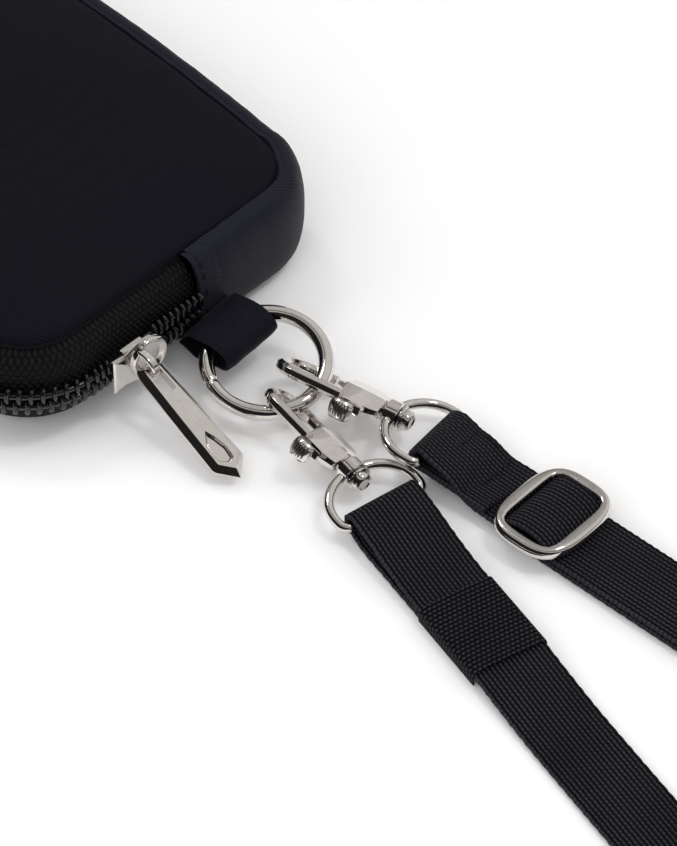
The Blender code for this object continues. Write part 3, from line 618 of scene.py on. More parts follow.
def seam_point(distance):
    """The seam's point and outward direction; the distance goes clockwise from the middle of the +X end."""
    far_x = SEAM_HALF_LENGTH
    far_y = SEAM_HALF_WIDTH
    mid_x = far_x - SEAM_RADIUS
    mid_y = far_y - SEAM_RADIUS
    distance %= ROUND_TRIP
    step = max(i for i, start in enumerate(STATIONS[:-1]) if start <= distance + 1e-9)
    into = distance - STATIONS[step]
    straights = {
        0: ((far_x, 0), (0, -1), (1, 0)),
        2: ((mid_x, -far_y), (-1, 0), (0, -1)),
        4: ((-far_x, -mid_y), (0, 1), (-1, 0)),
        6: ((-mid_x, far_y), (1, 0), (0, 1)),
        8: ((far_x, mid_y), (0, -1), (1, 0)),
    }
    if step in straights:
        start, ahead, out = (Vector((*pair, 0)) for pair in straights[step])
        spot = start + ahead * into
        return spot + out * bow(spot.x, spot.y), out
    centres = {
        1: (mid_x, -mid_y, 0), 3: (-mid_x, -mid_y, -90), 5: (-mid_x, mid_y, -180), 7: (mid_x, mid_y, -270),
    }
    x, y, start_angle = centres[step]
    angle = math.radians(start_angle) - into / SEAM_RADIUS
    out = Vector((math.cos(angle), math.sin(angle), 0))
    return Vector((x, y, 0)) + out * SEAM_RADIUS, out


def wall_level(share):
    """The height of a share of the wall, from 0 at the lower seam to 1 at the upper one."""
    return WALL_LOW + (WALL_HIGH - WALL_LOW) * share


def bulge_of(share):
    """How far the wall stands out of the seams: steep at both seams, full in the middle."""
    return WALL_BULGE * (1 - abs(2 * share - 1) ** 2.3) ** 0.55


def pucker(distance, share, size):
    """Small folds that the seams pull into the fabric, deepest next to a seam."""
    near = math.exp(-share * 4.5) + math.exp(-(1 - share) * 4.5)
    folds = noise.noise(Vector((distance * 0.19, share * 1.2, 3.0)))
    fine = noise.noise(Vector((distance * 0.55, share * 2.0, 8.0))) * 0.5
    return (folds + fine) * near * size


def corner_share(distance):
    """1 in the middle of the corner that has no zip next to the ring's end, and 0 away from it."""
    start = STATIONS[7]
    middle = start + QUARTER / 2
    return max(0.0, 1 - abs((distance % ROUND_TRIP) - middle) / (QUARTER * 0.9))


def wall_point(distance, share, out):
    """A point of the bulging wall that the zip lies on."""
    start, outward = seam_point(distance)
    lump = pucker(distance, share, 0.15 + 1.1 * corner_share(distance) * share)
    sag = 0.25 * noise.noise(Vector((distance * 0.03, share * 2.0, 1.0)))
    reach = bulge_of(share) + out + lump + sag * math.sin(math.pi * share)
    return start + outward * reach + UP * wall_level(share)


def shoulder_point(distance, share, out, size=0.35):
    """A point of the padded wall, which stands up beside both panels and dips into their seams."""
    start, outward = seam_point(distance)
    size += 1.1 * corner_share(distance) * share
    lump = pucker(distance, share, size)
    turn = math.pi * (min(1.0, max(0.0, (share - WELT_SHARE) / (1 - 2 * WELT_SHARE))) - 0.5)
    middle = (WALL_LOW + WALL_HIGH) / 2
    half = (WALL_HIGH - WALL_LOW) / 2 + 1.3
    rise = half * math.copysign(abs(math.sin(turn)) ** 0.85, turn)
    reach = (WALL_BULGE + 0.3) * max(0.0, math.cos(turn)) ** 0.62 + 0.4
    dip = max(0.0, WELT_SHARE - share, share - (1 - WELT_SHARE)) / WELT_SHARE
    rise -= math.copysign(1.9 * dip, turn)
    return start + outward * (reach - 0.9 * dip + (out + lump) * (1 - dip)) + UP * (middle + rise)


def wall_sheet(span, shares, steps, step, size=0.35, lift=0.0):
    """A sheet of the padded wall over a span of the seam; step is its grid along the seam."""
    low, high = shares
    count = max(2, round((span[1] - span[0]) / step))
    rows = []
    for i in range(count + 1):
        d = span[0] + (span[1] - span[0]) * i / count
        levels = [low + (high - low) * j / steps for j in range(steps + 1)]
        outer = [shoulder_point(d, share, lift, size) for share in levels]
        inner = [shoulder_point(d, share, lift - TWILL_THICK, size) for share in levels]
        heights = [travelled for _, _, travelled in walked(outer)]
        rows.append([(a, b, (d, height)) for a, b, height in zip(outer, inner, heights)])
    return sheet(rows)


def long_outline(shrink):
    """The seam's outline moved in by shrink, with points every 2 mm or so along its straights."""
    radius = max(0.25, SEAM_RADIUS - shrink * 0.6)
    radius = min(radius, SEAM_HALF_WIDTH - shrink - 0.04)
    corners = rounded_rectangle(SEAM_HALF_LENGTH - shrink, SEAM_HALF_WIDTH - shrink, radius, 8)
    points = []
    for i, here in enumerate(corners):
        after = corners[(i + 1) % len(corners)]
        points.append(here)
        if i % 9 == 8:
            pieces = 68 if abs(after[0] - here[0]) > abs(after[1] - here[1]) else 26
            for k in range(1, pieces):
                t = k / pieces
                points.append((here[0] + (after[0] - here[0]) * t, here[1] + (after[1] - here[1]) * t))
    widest = SEAM_HALF_WIDTH - shrink
    return [(x, y + bow(x, SEAM_HALF_WIDTH) * max(0.0, y / widest) ** 3) for x, y in points]


def crown(share):
    """The front panel's dome: full in the middle, nothing at the seam."""
    return PANEL_CROWN * (1 - share ** 3)


def flat_crown(share):
    """The back panel lies flat and only rounds up next to its seam."""
    return 0.6 * (1 - max(0.0, (share - 0.8) / 0.2) ** 1.5)


def panel_shape(base, up, crown_of):
    """A padded panel: domed, rolled over at its edge into the seam, with folds next to the seam."""
    insets = (0.25, 0.35, 0.6, 1.1, 1.8, 2.8, 4.2, 6.0, 8.5, 11.5, 15.0, 18.5)
    insets += (22.0, 25.5, 29.0, 32.5, 35.5, 37.7)
    drops = (1.9, 1.15, 0.55, 0.2, 0.06) + (0.0,) * 13
    loops = []
    uvs = []
    for by, drop in zip(insets, drops):
        share = 1 - by / SEAM_HALF_WIDTH
        loop = []
        for x, y in long_outline(by):
            folds = noise.noise(Vector((x * 0.16, y * 0.16, up * 5.0)))
            fine = noise.noise(Vector((x * 0.45, y * 0.45, 2.0)))
            near = math.exp(-max(0.0, by - 0.5) / 4.0) * (0.30 if by > 0.2 else 0.1)
            sag = 0.5 * noise.noise(Vector((x * 0.022, y * 0.03, 4.0))) * min(1.0, by / 15)
            lift = crown_of(min(1.0, share)) - drop + (folds * 0.8 + fine * 0.35) * near + sag
            loop.append(Vector((x, y, base + up * lift)))
            uvs.append((x, y))
        loops.append(loop)
    under = [Vector((v.x, v.y, base - up * (PANEL_THICK + 0.3))) for v in loops[0]]
    loops.insert(0, under)
    uvs = [(v.x, v.y) for v in under] + uvs
    return loops_to_shape(loops), uvs


def add_panels():
    """The two padded faces of the pouch."""
    top = WALL_HIGH + GAP + PANEL_THICK
    shape, uvs = panel_shape(top, 1, crown)
    front = twill_piece("front_panel_fabric", shape, TWILL_TOP, ["front_panel"], uvs)
    shape, uvs = panel_shape(1.3, -1, flat_crown)
    back = twill_piece("back_panel_fabric", shape, TWILL_TOP, ["back_panel"], uvs)


def add_gusset():
    """The padded wall away from the zip, and the welts in its two seams."""
    span = (ZIP_END + GAP, ROUND_TRIP + ZIP_START - GAP)
    shape, uvs = wall_sheet(span, (0.0, 1.0), 32, 1.2)
    gusset = twill_piece("gusset_fabric", shape, TWILL_WALL, ["gusset"], uvs, crease=70)
    for name, low, high in (("front_welt", 0.955, 1.03), ("back_welt", -0.03, 0.045)):
        rows = max(2, round((ROUND_TRIP - 2) / 1.2))
        loops = []
        for i in range(rows + 1):
            d = 1.0 + (ROUND_TRIP - 2) * i / rows
            centre, out = seam_point(d)
            level = wall_level((low + high) / 2)
            loops.append([centre + out * (a - 0.5) + UP * (level + b) for a, b in circle(0.55, 6)])
        piece(name, loops_to_shape(loops), LINING, "pouch", "black_lining")


def add_end_tab(name, zip_end, away, node):
    """The folded flap that covers an end of the zip and goes on away from it, with its row of stitches."""
    span = sorted((zip_end - away * 0.9, zip_end + away * END_TAB_LENGTH))
    shape, uvs = wall_sheet(span, (0.05, 0.95), 24, 0.6, 0.5, lift=0.8)
    twill_piece(name, shape, TWILL_FLAP, [node], uvs, crease=70, bevel=0.25)
    row_at = zip_end + away * 0.6
    spots = []
    for i in range(8):
        share = 0.1 + 0.8 * i / 7
        here = shoulder_point(row_at, share, 0.95, 0.5)
        ahead = (shoulder_point(row_at, share + 0.02, 0.95, 0.5) - here).normalized()
        spots.append((here, ahead, seam_point(row_at)[1]))
    stitches(name + "_stitches", spots, "pouch", "black_twill", 1.7, 0.17)


def parting(distance):
    """How far each row of the chain is from the middle: nothing where it is closed."""
    open_start = ZIP_START + 0.5
    open_end = -SLIDER_Y - 3.0
    if not open_start < distance < open_end:
        return 0.0
    share = (distance - open_start) / (open_end - open_start)
    return 0.9 * math.sin(math.pi * (0.12 + 0.55 * share)) ** 0.6


def add_zip():
    """Both tapes and both rows of turns."""
    add_tape("zipper_tape_upper_fabric", 1, "zipper_tape_upper")
    add_tape("zipper_tape_lower_fabric", -1, "zipper_tape_lower")
    add_coil("zipper_coil_upper_turns", 1, "zipper_coil_upper")
    add_coil("zipper_coil_lower_turns", -1, "zipper_coil_lower")


def zip_share(distance, side, height):
    """The wall share of a height on one side of the middle of the chain, in millimetres."""
    return 0.5 + side * (height + parting(distance)) / (WALL_HIGH - WALL_LOW)


def add_tape(name, side, node):
    """The woven tape from its row of the chain to its seam, where it tucks under the panel's edge."""
    tucks = [0.0] * 11 + [-0.5, -1.3]
    count = round((ZIP_END - ZIP_START) / 1.2)
    rows = []
    for i in range(count + 1):
        d = ZIP_START + (ZIP_END - ZIP_START) * i / count
        edge = zip_share(d, side, 0.35)
        seam = 1.0 if side > 0 else 0.0
        row = []
        for j, tuck in enumerate(tucks):
            share = edge + (seam - edge) * j / (len(tucks) - 1)
            inner = wall_point(d, share, tuck - TAPE_THICK)
            row.append((wall_point(d, share, tuck), inner, (d, share * 21.0)))
        rows.append(row)
    shape, uvs = sheet(rows)
    piece(name, shape, TAPE, "pouch", "zip_tape", [node], uvs, crease=70)


def add_coil(name, side, node):
    """One row of the chain: a turn of monofilament every pitch, over a cord."""
    start = ZIP_START + 1.0
    turns = round((ZIP_END - 1.0 - start) / COIL_PITCH)
    shapes = []
    core = []
    for i in range(turns):
        d = start + (i + (0.25 if side > 0 else 0.75)) * COIL_PITCH
        if abs(d + SLIDER_Y) < SLIDER_COVERS:
            continue
        loop = []
        for k in range(12):
            a = math.tau * k / 12
            share = zip_share(d, side, 1.3 + 1.35 * math.cos(a))
            lift = GAP + 1.0 + 0.72 * math.sin(a)
            slant = 0.10 * COIL_PITCH * math.sin(a) * side
            loop.append(chain_point(d + slant, share, lift))
        shapes.append(sweep(along(loop, seam_point(d)[1], closed=True), circle(0.5, 8), closed=True))
    for i in range(turns * 2):
        d = start + i * COIL_PITCH / 2
        core.append(chain_point(d, zip_share(d, side, 1.3), GAP + 1.0))
    shapes.append(sweep(along(core, UP), circle(0.62, 8)))
    piece(name, joined(*shapes), COIL, "pouch", "zip_coil", [node], crease=0)


def chain_point(distance, share, lift):
    """A point of the chain, which stands upright a lift beyond the fullest part of the wall."""
    start, outward = seam_point(distance)
    return start + outward * (WALL_BULGE + lift) + UP * wall_level(share)


CHAIN_X = SEAM_HALF_LENGTH + WALL_BULGE + GAP + COIL_THICK
CHAIN_Z = (WALL_LOW + WALL_HIGH) / 2


def slider_outline(long, high, square):
    """A shield: a squared flange at one end, round at the other."""
    left = [(-long, -high * square), (-long * 0.55, -high * 0.80), (-long * 0.1, -high)]
    right = arc((long * 0.28, 0), 1.0, -90, 90, 10)
    right = [(long * 0.28 + (x - long * 0.28) * long * 0.72, y * high) for x, y in right]
    upper = [(x, -y) for x, y in reversed(left)]
    return left + right + upper


def add_slider():
    """The slider's plate with its rim, flanges, wedge and inner plate, and the arch for the pull."""
    place = Matrix.Translation(Vector((CHAIN_X, SLIDER_Y, CHAIN_Z))) @ (
        Matrix.Rotation(math.radians(90), 4, "Z") @ Matrix.Rotation(math.radians(90), 4, "X"))
    low = GAP
    high = GAP + PLATE_THICK
    outer = slider_outline(SLIDER_HALF_LONG, SLIDER_HALF_HIGH, 0.88)
    levels = [
        (inset(outer, 0.35), low), (outer, low + 0.25), (outer, high - 0.5), (inset(outer, 0.4), high - 0.2),
    ]
    metal("slider_casting", stack(levels), "slider", ["slider_body"], place, crease=30)
    rim = (
        (0.0, -0.5), (0.15, 0.2), (-0.1, 0.5), (-0.5, 0.55), (-0.9, 0.3), (-1.2, -0.15), (-2.0, -0.3),
    )
    dish = []
    for grow, z in rim:
        around = circle(SLIDER_RIM_RADIUS + grow, 40)
        dish.append([Vector((SLIDER_RIM_X + x, y, high + z)) for x, y in around])
    metal("slider_rim", loops_to_shape(dish), "slider", place=place, crease=60)
    rails = []
    for side in (-1, 1):
        y0, y1 = sorted((side * 4.05, side * 4.35))
        rails.append(box((-3.6, y0, -0.6), (1.8, y1, low + 0.3)))
    depth = COIL_THICK + GAP + TAPE_THICK + 1.2
    rails.append(box((0.2, -0.2, -depth - 0.4), (3.4, 0.2, low + 0.4)))
    inner = [(x * 0.92, y * 0.8) for x, y in outer]
    rails.append(stack([(inset(inner, 0.3), -depth - 1.2), (inner, -depth - 0.8), (inner, -depth)]))
    metal("slider_flanges", joined(*rails), "slider", place=place, bevel=0.2)
    lift = high - 0.1
    route = [(0, -3.1, 0.0)] + [(0, y, z) for y, z in arc((0, 1.2), 2.9, 190, -10, 14)] + [(0, 3.1, 0.0)]
    route = [(x, y * 0.95, z + lift) for x, y, z in route]
    section = bar(0.65, 0.95, 0.3)
    arch = sweep(along(route, (1, 0, 0)), section)
    metal("slider_arch", arch, "slider", ["slider_bridge"], place, bevel=0.15)


def pull_outline(eye, half, length, tip):
    """The pull from its narrow eye to its pointed tip."""
    right = [(-eye, 2.2 - half), (-eye + 0.5, 1.4 - half), (0.8, 0.95 - half), (9.0, 0.6 - half)]
    right += [(length - 3.4, -half + 0.15), (length - 2.6, -half + 0.5)]
    left = [(x, -y) for x, y in reversed(right)]
    return right + [(length + tip, 0.0)] + left


def add_pull():
    """The bevelled bar with a slot at its eye and a hollow in its tip."""
    axis_x = CHAIN_X + GAP + PLATE_THICK + 1.9
    place = place_of((axis_x, SLIDER_Y, CHAIN_Z), pitch=PULL_DROOP, heading=PULL_YAW)
    half = PULL_WIDTH / 2
    full = pull_outline(0.85, half, PULL_LENGTH + 1.3, 0.7)
    levels = [
        (inset(full, 0.4), -1.0), (full, -0.7), (full, -0.35), (inset(full, 1.15), 0.95),
    ]
    pull = metal("pull_tab_bar", stack(levels), "pull", ["pull_tab"], place, crease=25)
    slot = rounded_rectangle(2.7, 1.4, 0.6, 4)
    slot = [(x + 4.2, y) for x, y in slot]
    cut(pull, stack([(slot, -3.0), (slot, 3.0)]), place)
    hollow = [(17.2, 0.0), (19.0, -1.35), (21.6, -2.3), (24.0, -1.9), (25.2, -0.2), (24.6, 1.2)]
    hollow += [(22.0, 1.5), (19.4, 0.9)]
    bowl = [(inset(hollow, by), z) for by, z in ((0.55, 0.25), (0.3, 0.45), (0.0, 1.0), (-0.5, 2.0))]
    cut(pull, stack(bowl), place)
    round_edges(pull, 0.12)


# ---------------------------------------------------------------- tab and ring
def add_tab():
    """A folded strip of twill: two layers, a fold beyond the ring, and stitches next to its ends."""
    place = place_of(TAB_PLACE, TAB_ROLL, TAB_PITCH)
    upper = [(-0.6, 0.6), (1.2, 1.3), (3.0, 2.7), (6.0, 2.85), (9.0, 2.7), (11.2, 2.0), (12.7, 0.7)]
    upper.append((13.2, -0.8))
    lower = [(12.7, -2.1), (11.4, -2.8), (9.0, -3.0), (6.0, -3.0), (3.0, -2.9), (1.2, -1.6), (-0.6, -0.75)]
    side = upper + lower
    points = [Vector((x, 0, z)) for x, z in side]
    route, _ = smooth_route(points, points, 0.5)
    rows = []
    for here, ahead, travelled in walked(route):
        out = Vector((0, 1, 0)).cross(ahead) * -1
        row = []
        for j in range(17):
            y = TAB_WIDTH * (j / 16 - 0.5)
            lump = 0.12 * noise.noise(Vector((here.x * 0.5, y * 0.35, here.z)))
            drop = 0.25 * abs(j / 8 - 1) ** 6
            spot = here + Vector((0, y, 0))
            row.append((spot + out * (0.35 + lump - drop), spot + out * (-0.35 + lump), (travelled, y)))
        rows.append(row)
    shape, uvs = sheet(rows)
    twill_piece("tab_fabric", shape, TWILL_TAB, ["tab_loop"], uvs, place, crease=60)
    spots = []
    turn = place.to_3x3()
    for x, z in ((11.2, 2.42), (3.9, 3.15)):
        for k in range(7):
            y = -5.7 + 11.4 * k / 6
            spots.append((place @ Vector((x, y, z)), turn @ Vector((0, 1, 0)), turn @ UP))
    stitches("tab_stitches", spots, "pouch", "black_twill", 1.5, 0.14)


def add_ring():
    """The closed ring, with the fine groove of its joint."""
    heading = math.radians(RING_TILT_HEADING)
    tilt = math.radians(RING_TILT)
    level = Vector((math.cos(heading), math.sin(heading), 0))
    away = Vector((-math.sin(heading), math.cos(heading), 0))
    raised = away * math.cos(tilt) + UP * math.sin(tilt)
    normal = level.cross(raised)
    joint_at = math.radians(205.0)
    loops = []
    steps = 180
    for i in range(steps):
        a = joint_at + math.tau * (i + 0.5) / steps
        out = level * math.cos(a) + raised * math.sin(a)
        from_joint = min(i, steps - 1 - i)
        wire = RING_WIRE - (0.22 if from_joint == 0 else 0.0)
        centre = RING_CENTRE + out * RING_RADIUS
        loops.append([centre + out * p + normal * q for p, q in circle(wire, 24)])
    ring = loops_to_shape(loops, closed=True)
    metal("round_ring", ring, "ring", ["o_ring"])


# ---------------------------------------------------------------- swivel clips
def hook_route():
    """The bent bar's middle line: along one side, round the nose, and back to the claw's end."""
    bend_x = HOOK_HALF_WIDTH + HOOK_BAR
    points = [(16.0, -HOOK_HALF_WIDTH)]
    points += [(13.0, -HOOK_HALF_WIDTH), (9.5, -HOOK_HALF_WIDTH)]
    points += arc((bend_x, 0), HOOK_HALF_WIDTH, 270, 90, 24)
    points.append((CLAW_END_X, HOOK_HALF_WIDTH))
    return [(x, y, 0) for x, y in points]


def block_section():
    """The block seen along its axis: a broad sloping face on the near upper side."""
    below = [(-4.9, -1.3), (-3.9, -2.2), (3.9, -2.2), (4.9, -1.3)]
    return below + [(4.9, 1.3), (3.6, 2.3), (-1.5, 2.3), (-4.9, -0.2)]


def add_hook(tag, place):
    """The cast body: a bevelled bent bar, and the block that the lever turns in."""
    shares = ((15.0, 0.94), (15.3, 1.0), (20.8, 1.0), (23.2, 0.68), (23.5, 0.6))
    loops = []
    for x, share in shares:
        loops.append([Vector((x, y * share, z * min(1.0, share + 0.2))) for y, z in block_section()])
    block = metal(
        f"clip_block_{tag}", loops_to_shape(loops), f"clip_{tag}", [f"hook_{tag}"], place, crease=25)
    cut(block, box((16.8, -1.9, -1.2), (22.3, 9, 1.2)), place)
    cut(block, box((16.8, -9, -1.2), (21.9, 0, -0.15)), place)
    cut(block, box((14, 1.0, -1.2), (17.4, 9, 1.2)), place)
    round_edges(block, 0.14)
    route = hook_route()
    section = bar(HOOK_BAR, 1.25, 0.7)
    bent = sweep(along(route, UP), section)
    metal(f"clip_bar_{tag}", bent, f"clip_{tag}", place=place, crease=35, bevel=0.12)


def gate_outline():
    """The lever in its own plane, without the neck."""
    x = PIVOT[0]
    low = HOOK_HALF_WIDTH - 0.75
    high = HOOK_HALF_WIDTH + 0.75
    rod = [(GATE_TIP_X, low), (16.4, low), (x - 1.5, 1.4), (x - 1.7, -1.5), (x + 0.7, -1.5)]
    back = [(x + 1.6, 1.8), (x + 1.7, 4.0), (x + 0.6, 5.0), (16.4, high), (GATE_TIP_X, high)]
    return rod + back


def add_gate(tag, place):
    """The lever, its round rod, the neck through the block and, outside, the trigger with its ribbed lobe."""
    body = f"gate_{tag}"
    outline = gate_outline()
    neck = [(17.1, -5.4), (18.0, -5.4), (18.6, -1.2), (17.4, -1.2)]
    lever = stack([(outline, -0.2), (outline, 0.8)])
    metal(f"gate_lever_{tag}", lever, body, [body], place, crease=30, bevel=0.15)
    rod = [(x, HOOK_HALF_WIDTH, 0.3) for x in (GATE_TIP_X - 0.3, GATE_TIP_X, 16.6)]
    metal(f"gate_rod_{tag}", sweep(along(rod, UP), circle(0.82, 14, 0.58)), body, place=place)
    lobe = arc((17.3, -5.3), 1.0, 180, 360, 14)
    lobe = [(17.3 + (x - 17.3) * 2.6, -5.25 + (y + 5.3) * 2.1) for x, y in lobe]
    levels = [(1.0, -4.3), (0.4, -3.9), (0.05, -3.0), (0.0, -1.8), (0.15, -1.0), (0.6, -0.45)]
    levels = [(inset(lobe, by), z) for by, z in levels]
    made = metal(f"gate_thumb_{tag}", stack(levels), body, place=place, crease=30, look=BRUSHED)
    for k in range(7):
        x = 15.3 + 0.6 * k
        depth = 0.35 + 2.1 * (1 - math.sqrt(max(0.0, 1 - ((x + 0.1 - 17.3) / 2.6) ** 2)))
        cut(made, box((x, -9.0, -5.0), (x + 0.24, -7.35 + depth, 2.0)), place)
    plate = [(15.6, -5.15), (15.7, -5.6), (20.2, -5.6), (20.9, -5.4), (20.9, -5.15)]
    levels = [(inset(plate, 0.1), -2.2), (plate, -2.0), (plate, -0.6), (inset(plate, 0.1), -0.4)]
    trigger = joined(stack(levels), stack([(neck, -1.0), (neck, -0.25)]))
    metal(f"gate_plate_{tag}", trigger, body, place=place, crease=30)
    pin = turned([(-2.25, 0.3), (-2.2, 0.5), (2.2, 0.5), (2.25, 0.3)], 12)
    upright = place @ Matrix.Translation(Vector((*PIVOT, 0))) @ Matrix.Rotation(math.radians(90), 4, "Y")
    metal(f"gate_rivet_{tag}", pin, f"clip_{tag}", [f"gate_pin_{tag}"], upright)
    repaint(f"gate_spring_{tag}", SPRING)


def add_swivel(tag, place):
    """The riveted post that joins the block to the collar of the D-ring."""
    profile = [
        (23.3, 0.0), (23.3, 2.0), (23.75, 2.0), (23.8, 1.2), (27.5, 1.2), (27.5, 2.4), (27.65, 2.55),
        (28.0, 2.55), (28.15, 2.35), (28.2, 2.0), (28.7, 2.05), (29.2, 1.95), (29.55, 1.6), (29.65, 1.3),
        (29.45, 1.1), (29.4, 0.0),
    ]
    metal(f"swivel_rivet_{tag}", turned(profile, 28), f"clip_{tag}", [f"swivel_post_{tag}"], place, crease=35)


def d_route():
    """The D-ring's wire: from the collar out to its shoulders, down its sides and along its bar."""
    x = (COLLAR_X[0] + COLLAR_X[1]) / 2
    half = D_HALF_WIDTH - D_WIRE
    side = [(x, 1.6), (x + 0.2, 3.2), (x + 1.0, 5.2), (x + 2.5, 7.2), (x + 4.6, half - 0.6), (x + 6.8, half)]
    corner = arc((D_BAR_X - 1.6, half - 1.6), 1.6, 90, 0, 6)
    flat = side + corner
    flat += [(px, -py) for px, py in reversed(flat)]
    points = [Vector((px, py, -D_DROP * max(0.0, (px - x) / (D_BAR_X - x)))) for px, py in flat]
    route, _ = smooth_route(points, points, 0.6)
    return route


def add_d_ring(tag, place):
    """The collar that turns on the post, with its D-shaped wire."""
    low, high = COLLAR_X
    profile = [(low, 1.5), (low, 2.45), (low + 0.25, 2.75), (high - 0.25, 2.75), (high, 2.45), (high, 1.5)]
    shapes = joined(turned(profile, 28), sweep(along(d_route(), UP), circle(D_WIRE, 16)))
    metal(f"d_ring_wire_{tag}", shapes, "pouch", [f"d_ring_{tag}"], place, crease=50)


def add_clips():
    """Both swivel clips, each with its own pose on the ring."""
    for tag, (nose, heading, pitch, hook_roll, ring_roll) in CLIPS.items():
        hook_place = place_of(nose, hook_roll, pitch, heading)
        add_hook(tag, hook_place)
        add_gate(tag, hook_place)
        add_swivel(tag, hook_place)
        add_d_ring(tag, place_of(nose, ring_roll, pitch, heading))


# ---------------------------------------------------------------- webbing
def on_strap(start, heading):
    """A function that gives the place at a distance along a strap, across it, and at a height."""
    turn = math.radians(heading)
    ahead = Vector((math.cos(turn), math.sin(turn), 0))
    left = Vector((-math.sin(turn), math.cos(turn), 0))
    origin = Vector((*start, 0))
    return lambda s, across=0.0, z=0.0: origin + ahead * s + left * across + UP * z


def webbing_shape(route, sides):
    """Webbing along a route: slightly domed, with small scallops on its edges; shape and coordinates."""
    half = WEB_WIDTH / 2
    rows = []
    for (here, ahead, travelled), across in zip(walked(route), sides):
        side = (across - ahead * across.dot(ahead)).normalized()
        out = side.cross(ahead) * -1
        scallop = 1 + 0.010 * math.sin(travelled * math.tau / 1.6)
        row = []
        for a in (-1.0, -0.97, -0.75, -0.5, -0.25, 0.0, 0.25, 0.5, 0.75, 0.97, 1.0):
            dome = 0.35 if abs(a) == 1 else 0.92 + 0.08 * (1 - a * a)
            spot = here + side * (a * half * scallop)
            rise = out * (dome * WEB_THICK / 2)
            row.append((spot + rise, spot - rise, (a * half, travelled)))
        rows.append(row)
    return sheet(rows)


def d_bar(tag):
    """The middle of a D-ring's bar, and the direction along the bar."""
    nose, heading, pitch, _, ring_roll = CLIPS[tag]
    place = place_of(nose, ring_roll, pitch, heading)
    return place @ Vector((D_BAR_X, 0, -D_DROP)), place.to_3x3() @ Vector((0, 1, 0))


def fold_route(place, middle, level, under_end, under_z):
    """From the sewn end underneath, round the D-ring's bar, to the top layer."""
    reach = D_WIRE + GAP + WEB_THICK / 2
    ahead = level.cross(UP).normalized()
    rise = ahead.cross(level)
    points = [place(under_end, 0, under_z), place(under_end * 0.5, 0, under_z), place(4.0, 0, under_z)]
    for angle in range(-80, -281, -25):
        turn = math.radians(angle)
        points.append(middle + ahead * (reach * math.cos(turn)) + rise * (reach * math.sin(turn)))
    return points


def sides_of(level, flat, fold_count, total, turning=4):
    """Side directions that go from the D-ring's bar to the strap's own after the fold."""
    shares = [min(1.0, max(0.0, (i - fold_count) / turning)) for i in range(total)]
    return [level.lerp(flat, share) for share in shares]


def add_strap_a():
    """Webbing from clip a through the adjuster and the rectangular ring, and back underneath."""
    middle, level = d_bar("a")
    place = on_strap((middle.x, middle.y), STRAP_A_HEADING)
    flat = place(0, 1) - place(0)
    route = fold_route(place, middle, level, SEWN_END_AT, middle.z - 2.1)
    fold_count = len(route)
    run = [(4.0, middle.z + 1.4), (8.0, middle.z + 0.5), (12.0, TOP + 0.5), (15.5, TOP)]
    run += [(ADJUSTER_AT, TOP), (50.0, TOP), (75.0, TOP), (RECTANGULAR_RING_AT - 6, TOP)]
    route += [place(s, 0, z) for s, z in run]
    for angle in (90, 45, 0, -30):
        turn = math.radians(angle)
        height = RECTANGULAR_RING_Z + RECTANGULAR_RING_WRAP * math.sin(turn)
        route.append(place(RECTANGULAR_RING_AT + RECTANGULAR_RING_WRAP * math.cos(turn), 0, height))
    sides = sides_of(level, flat, fold_count, len(route))
    route, sides = smooth_route(route, sides, 0.8)
    strap = webbing_piece("strap_a_webbing", route, sides, ["strap_a_run"])
    back = [place(s, 0, UNDER) for s in (RECTANGULAR_RING_AT - 3.0, 80.0, 55.0, ADJUSTER_AT + 2.0)]
    back, back_sides = smooth_route(back, [flat] * 4, 1.0)
    under = webbing_piece("strap_a_lower_webbing", back, back_sides, ["strap_a_return"])
    adjuster = add_adjuster(place)
    ring = add_rectangular_ring(place)
    sewn = add_box_stitches(place, middle)
    return place


def add_box_stitches(place, middle):
    """The square of stitches that holds the fold of strap a."""
    spots = []

    def top_at(s):
        near = middle.z + 1.95
        return near + (TOP + 0.95 - near) * ((s - 4.5) / 9.5)

    for s in (4.8, 13.0):
        for k in range(7):
            spots.append((place(s, -5.7 + 1.9 * k, top_at(s)), place(0, 1) - place(0), UP))
    for y in (-6.2, 6.2):
        for k in range(5):
            s = 5.4 + 1.75 * k
            ahead = (place(s + 1, y, top_at(s + 1)) - place(s, y, top_at(s))).normalized()
            spots.append((place(s, y, top_at(s)), ahead, UP))
    return stitches("strap_a_stitches", spots, "pouch", "black_webbing", 1.5, 0.2)


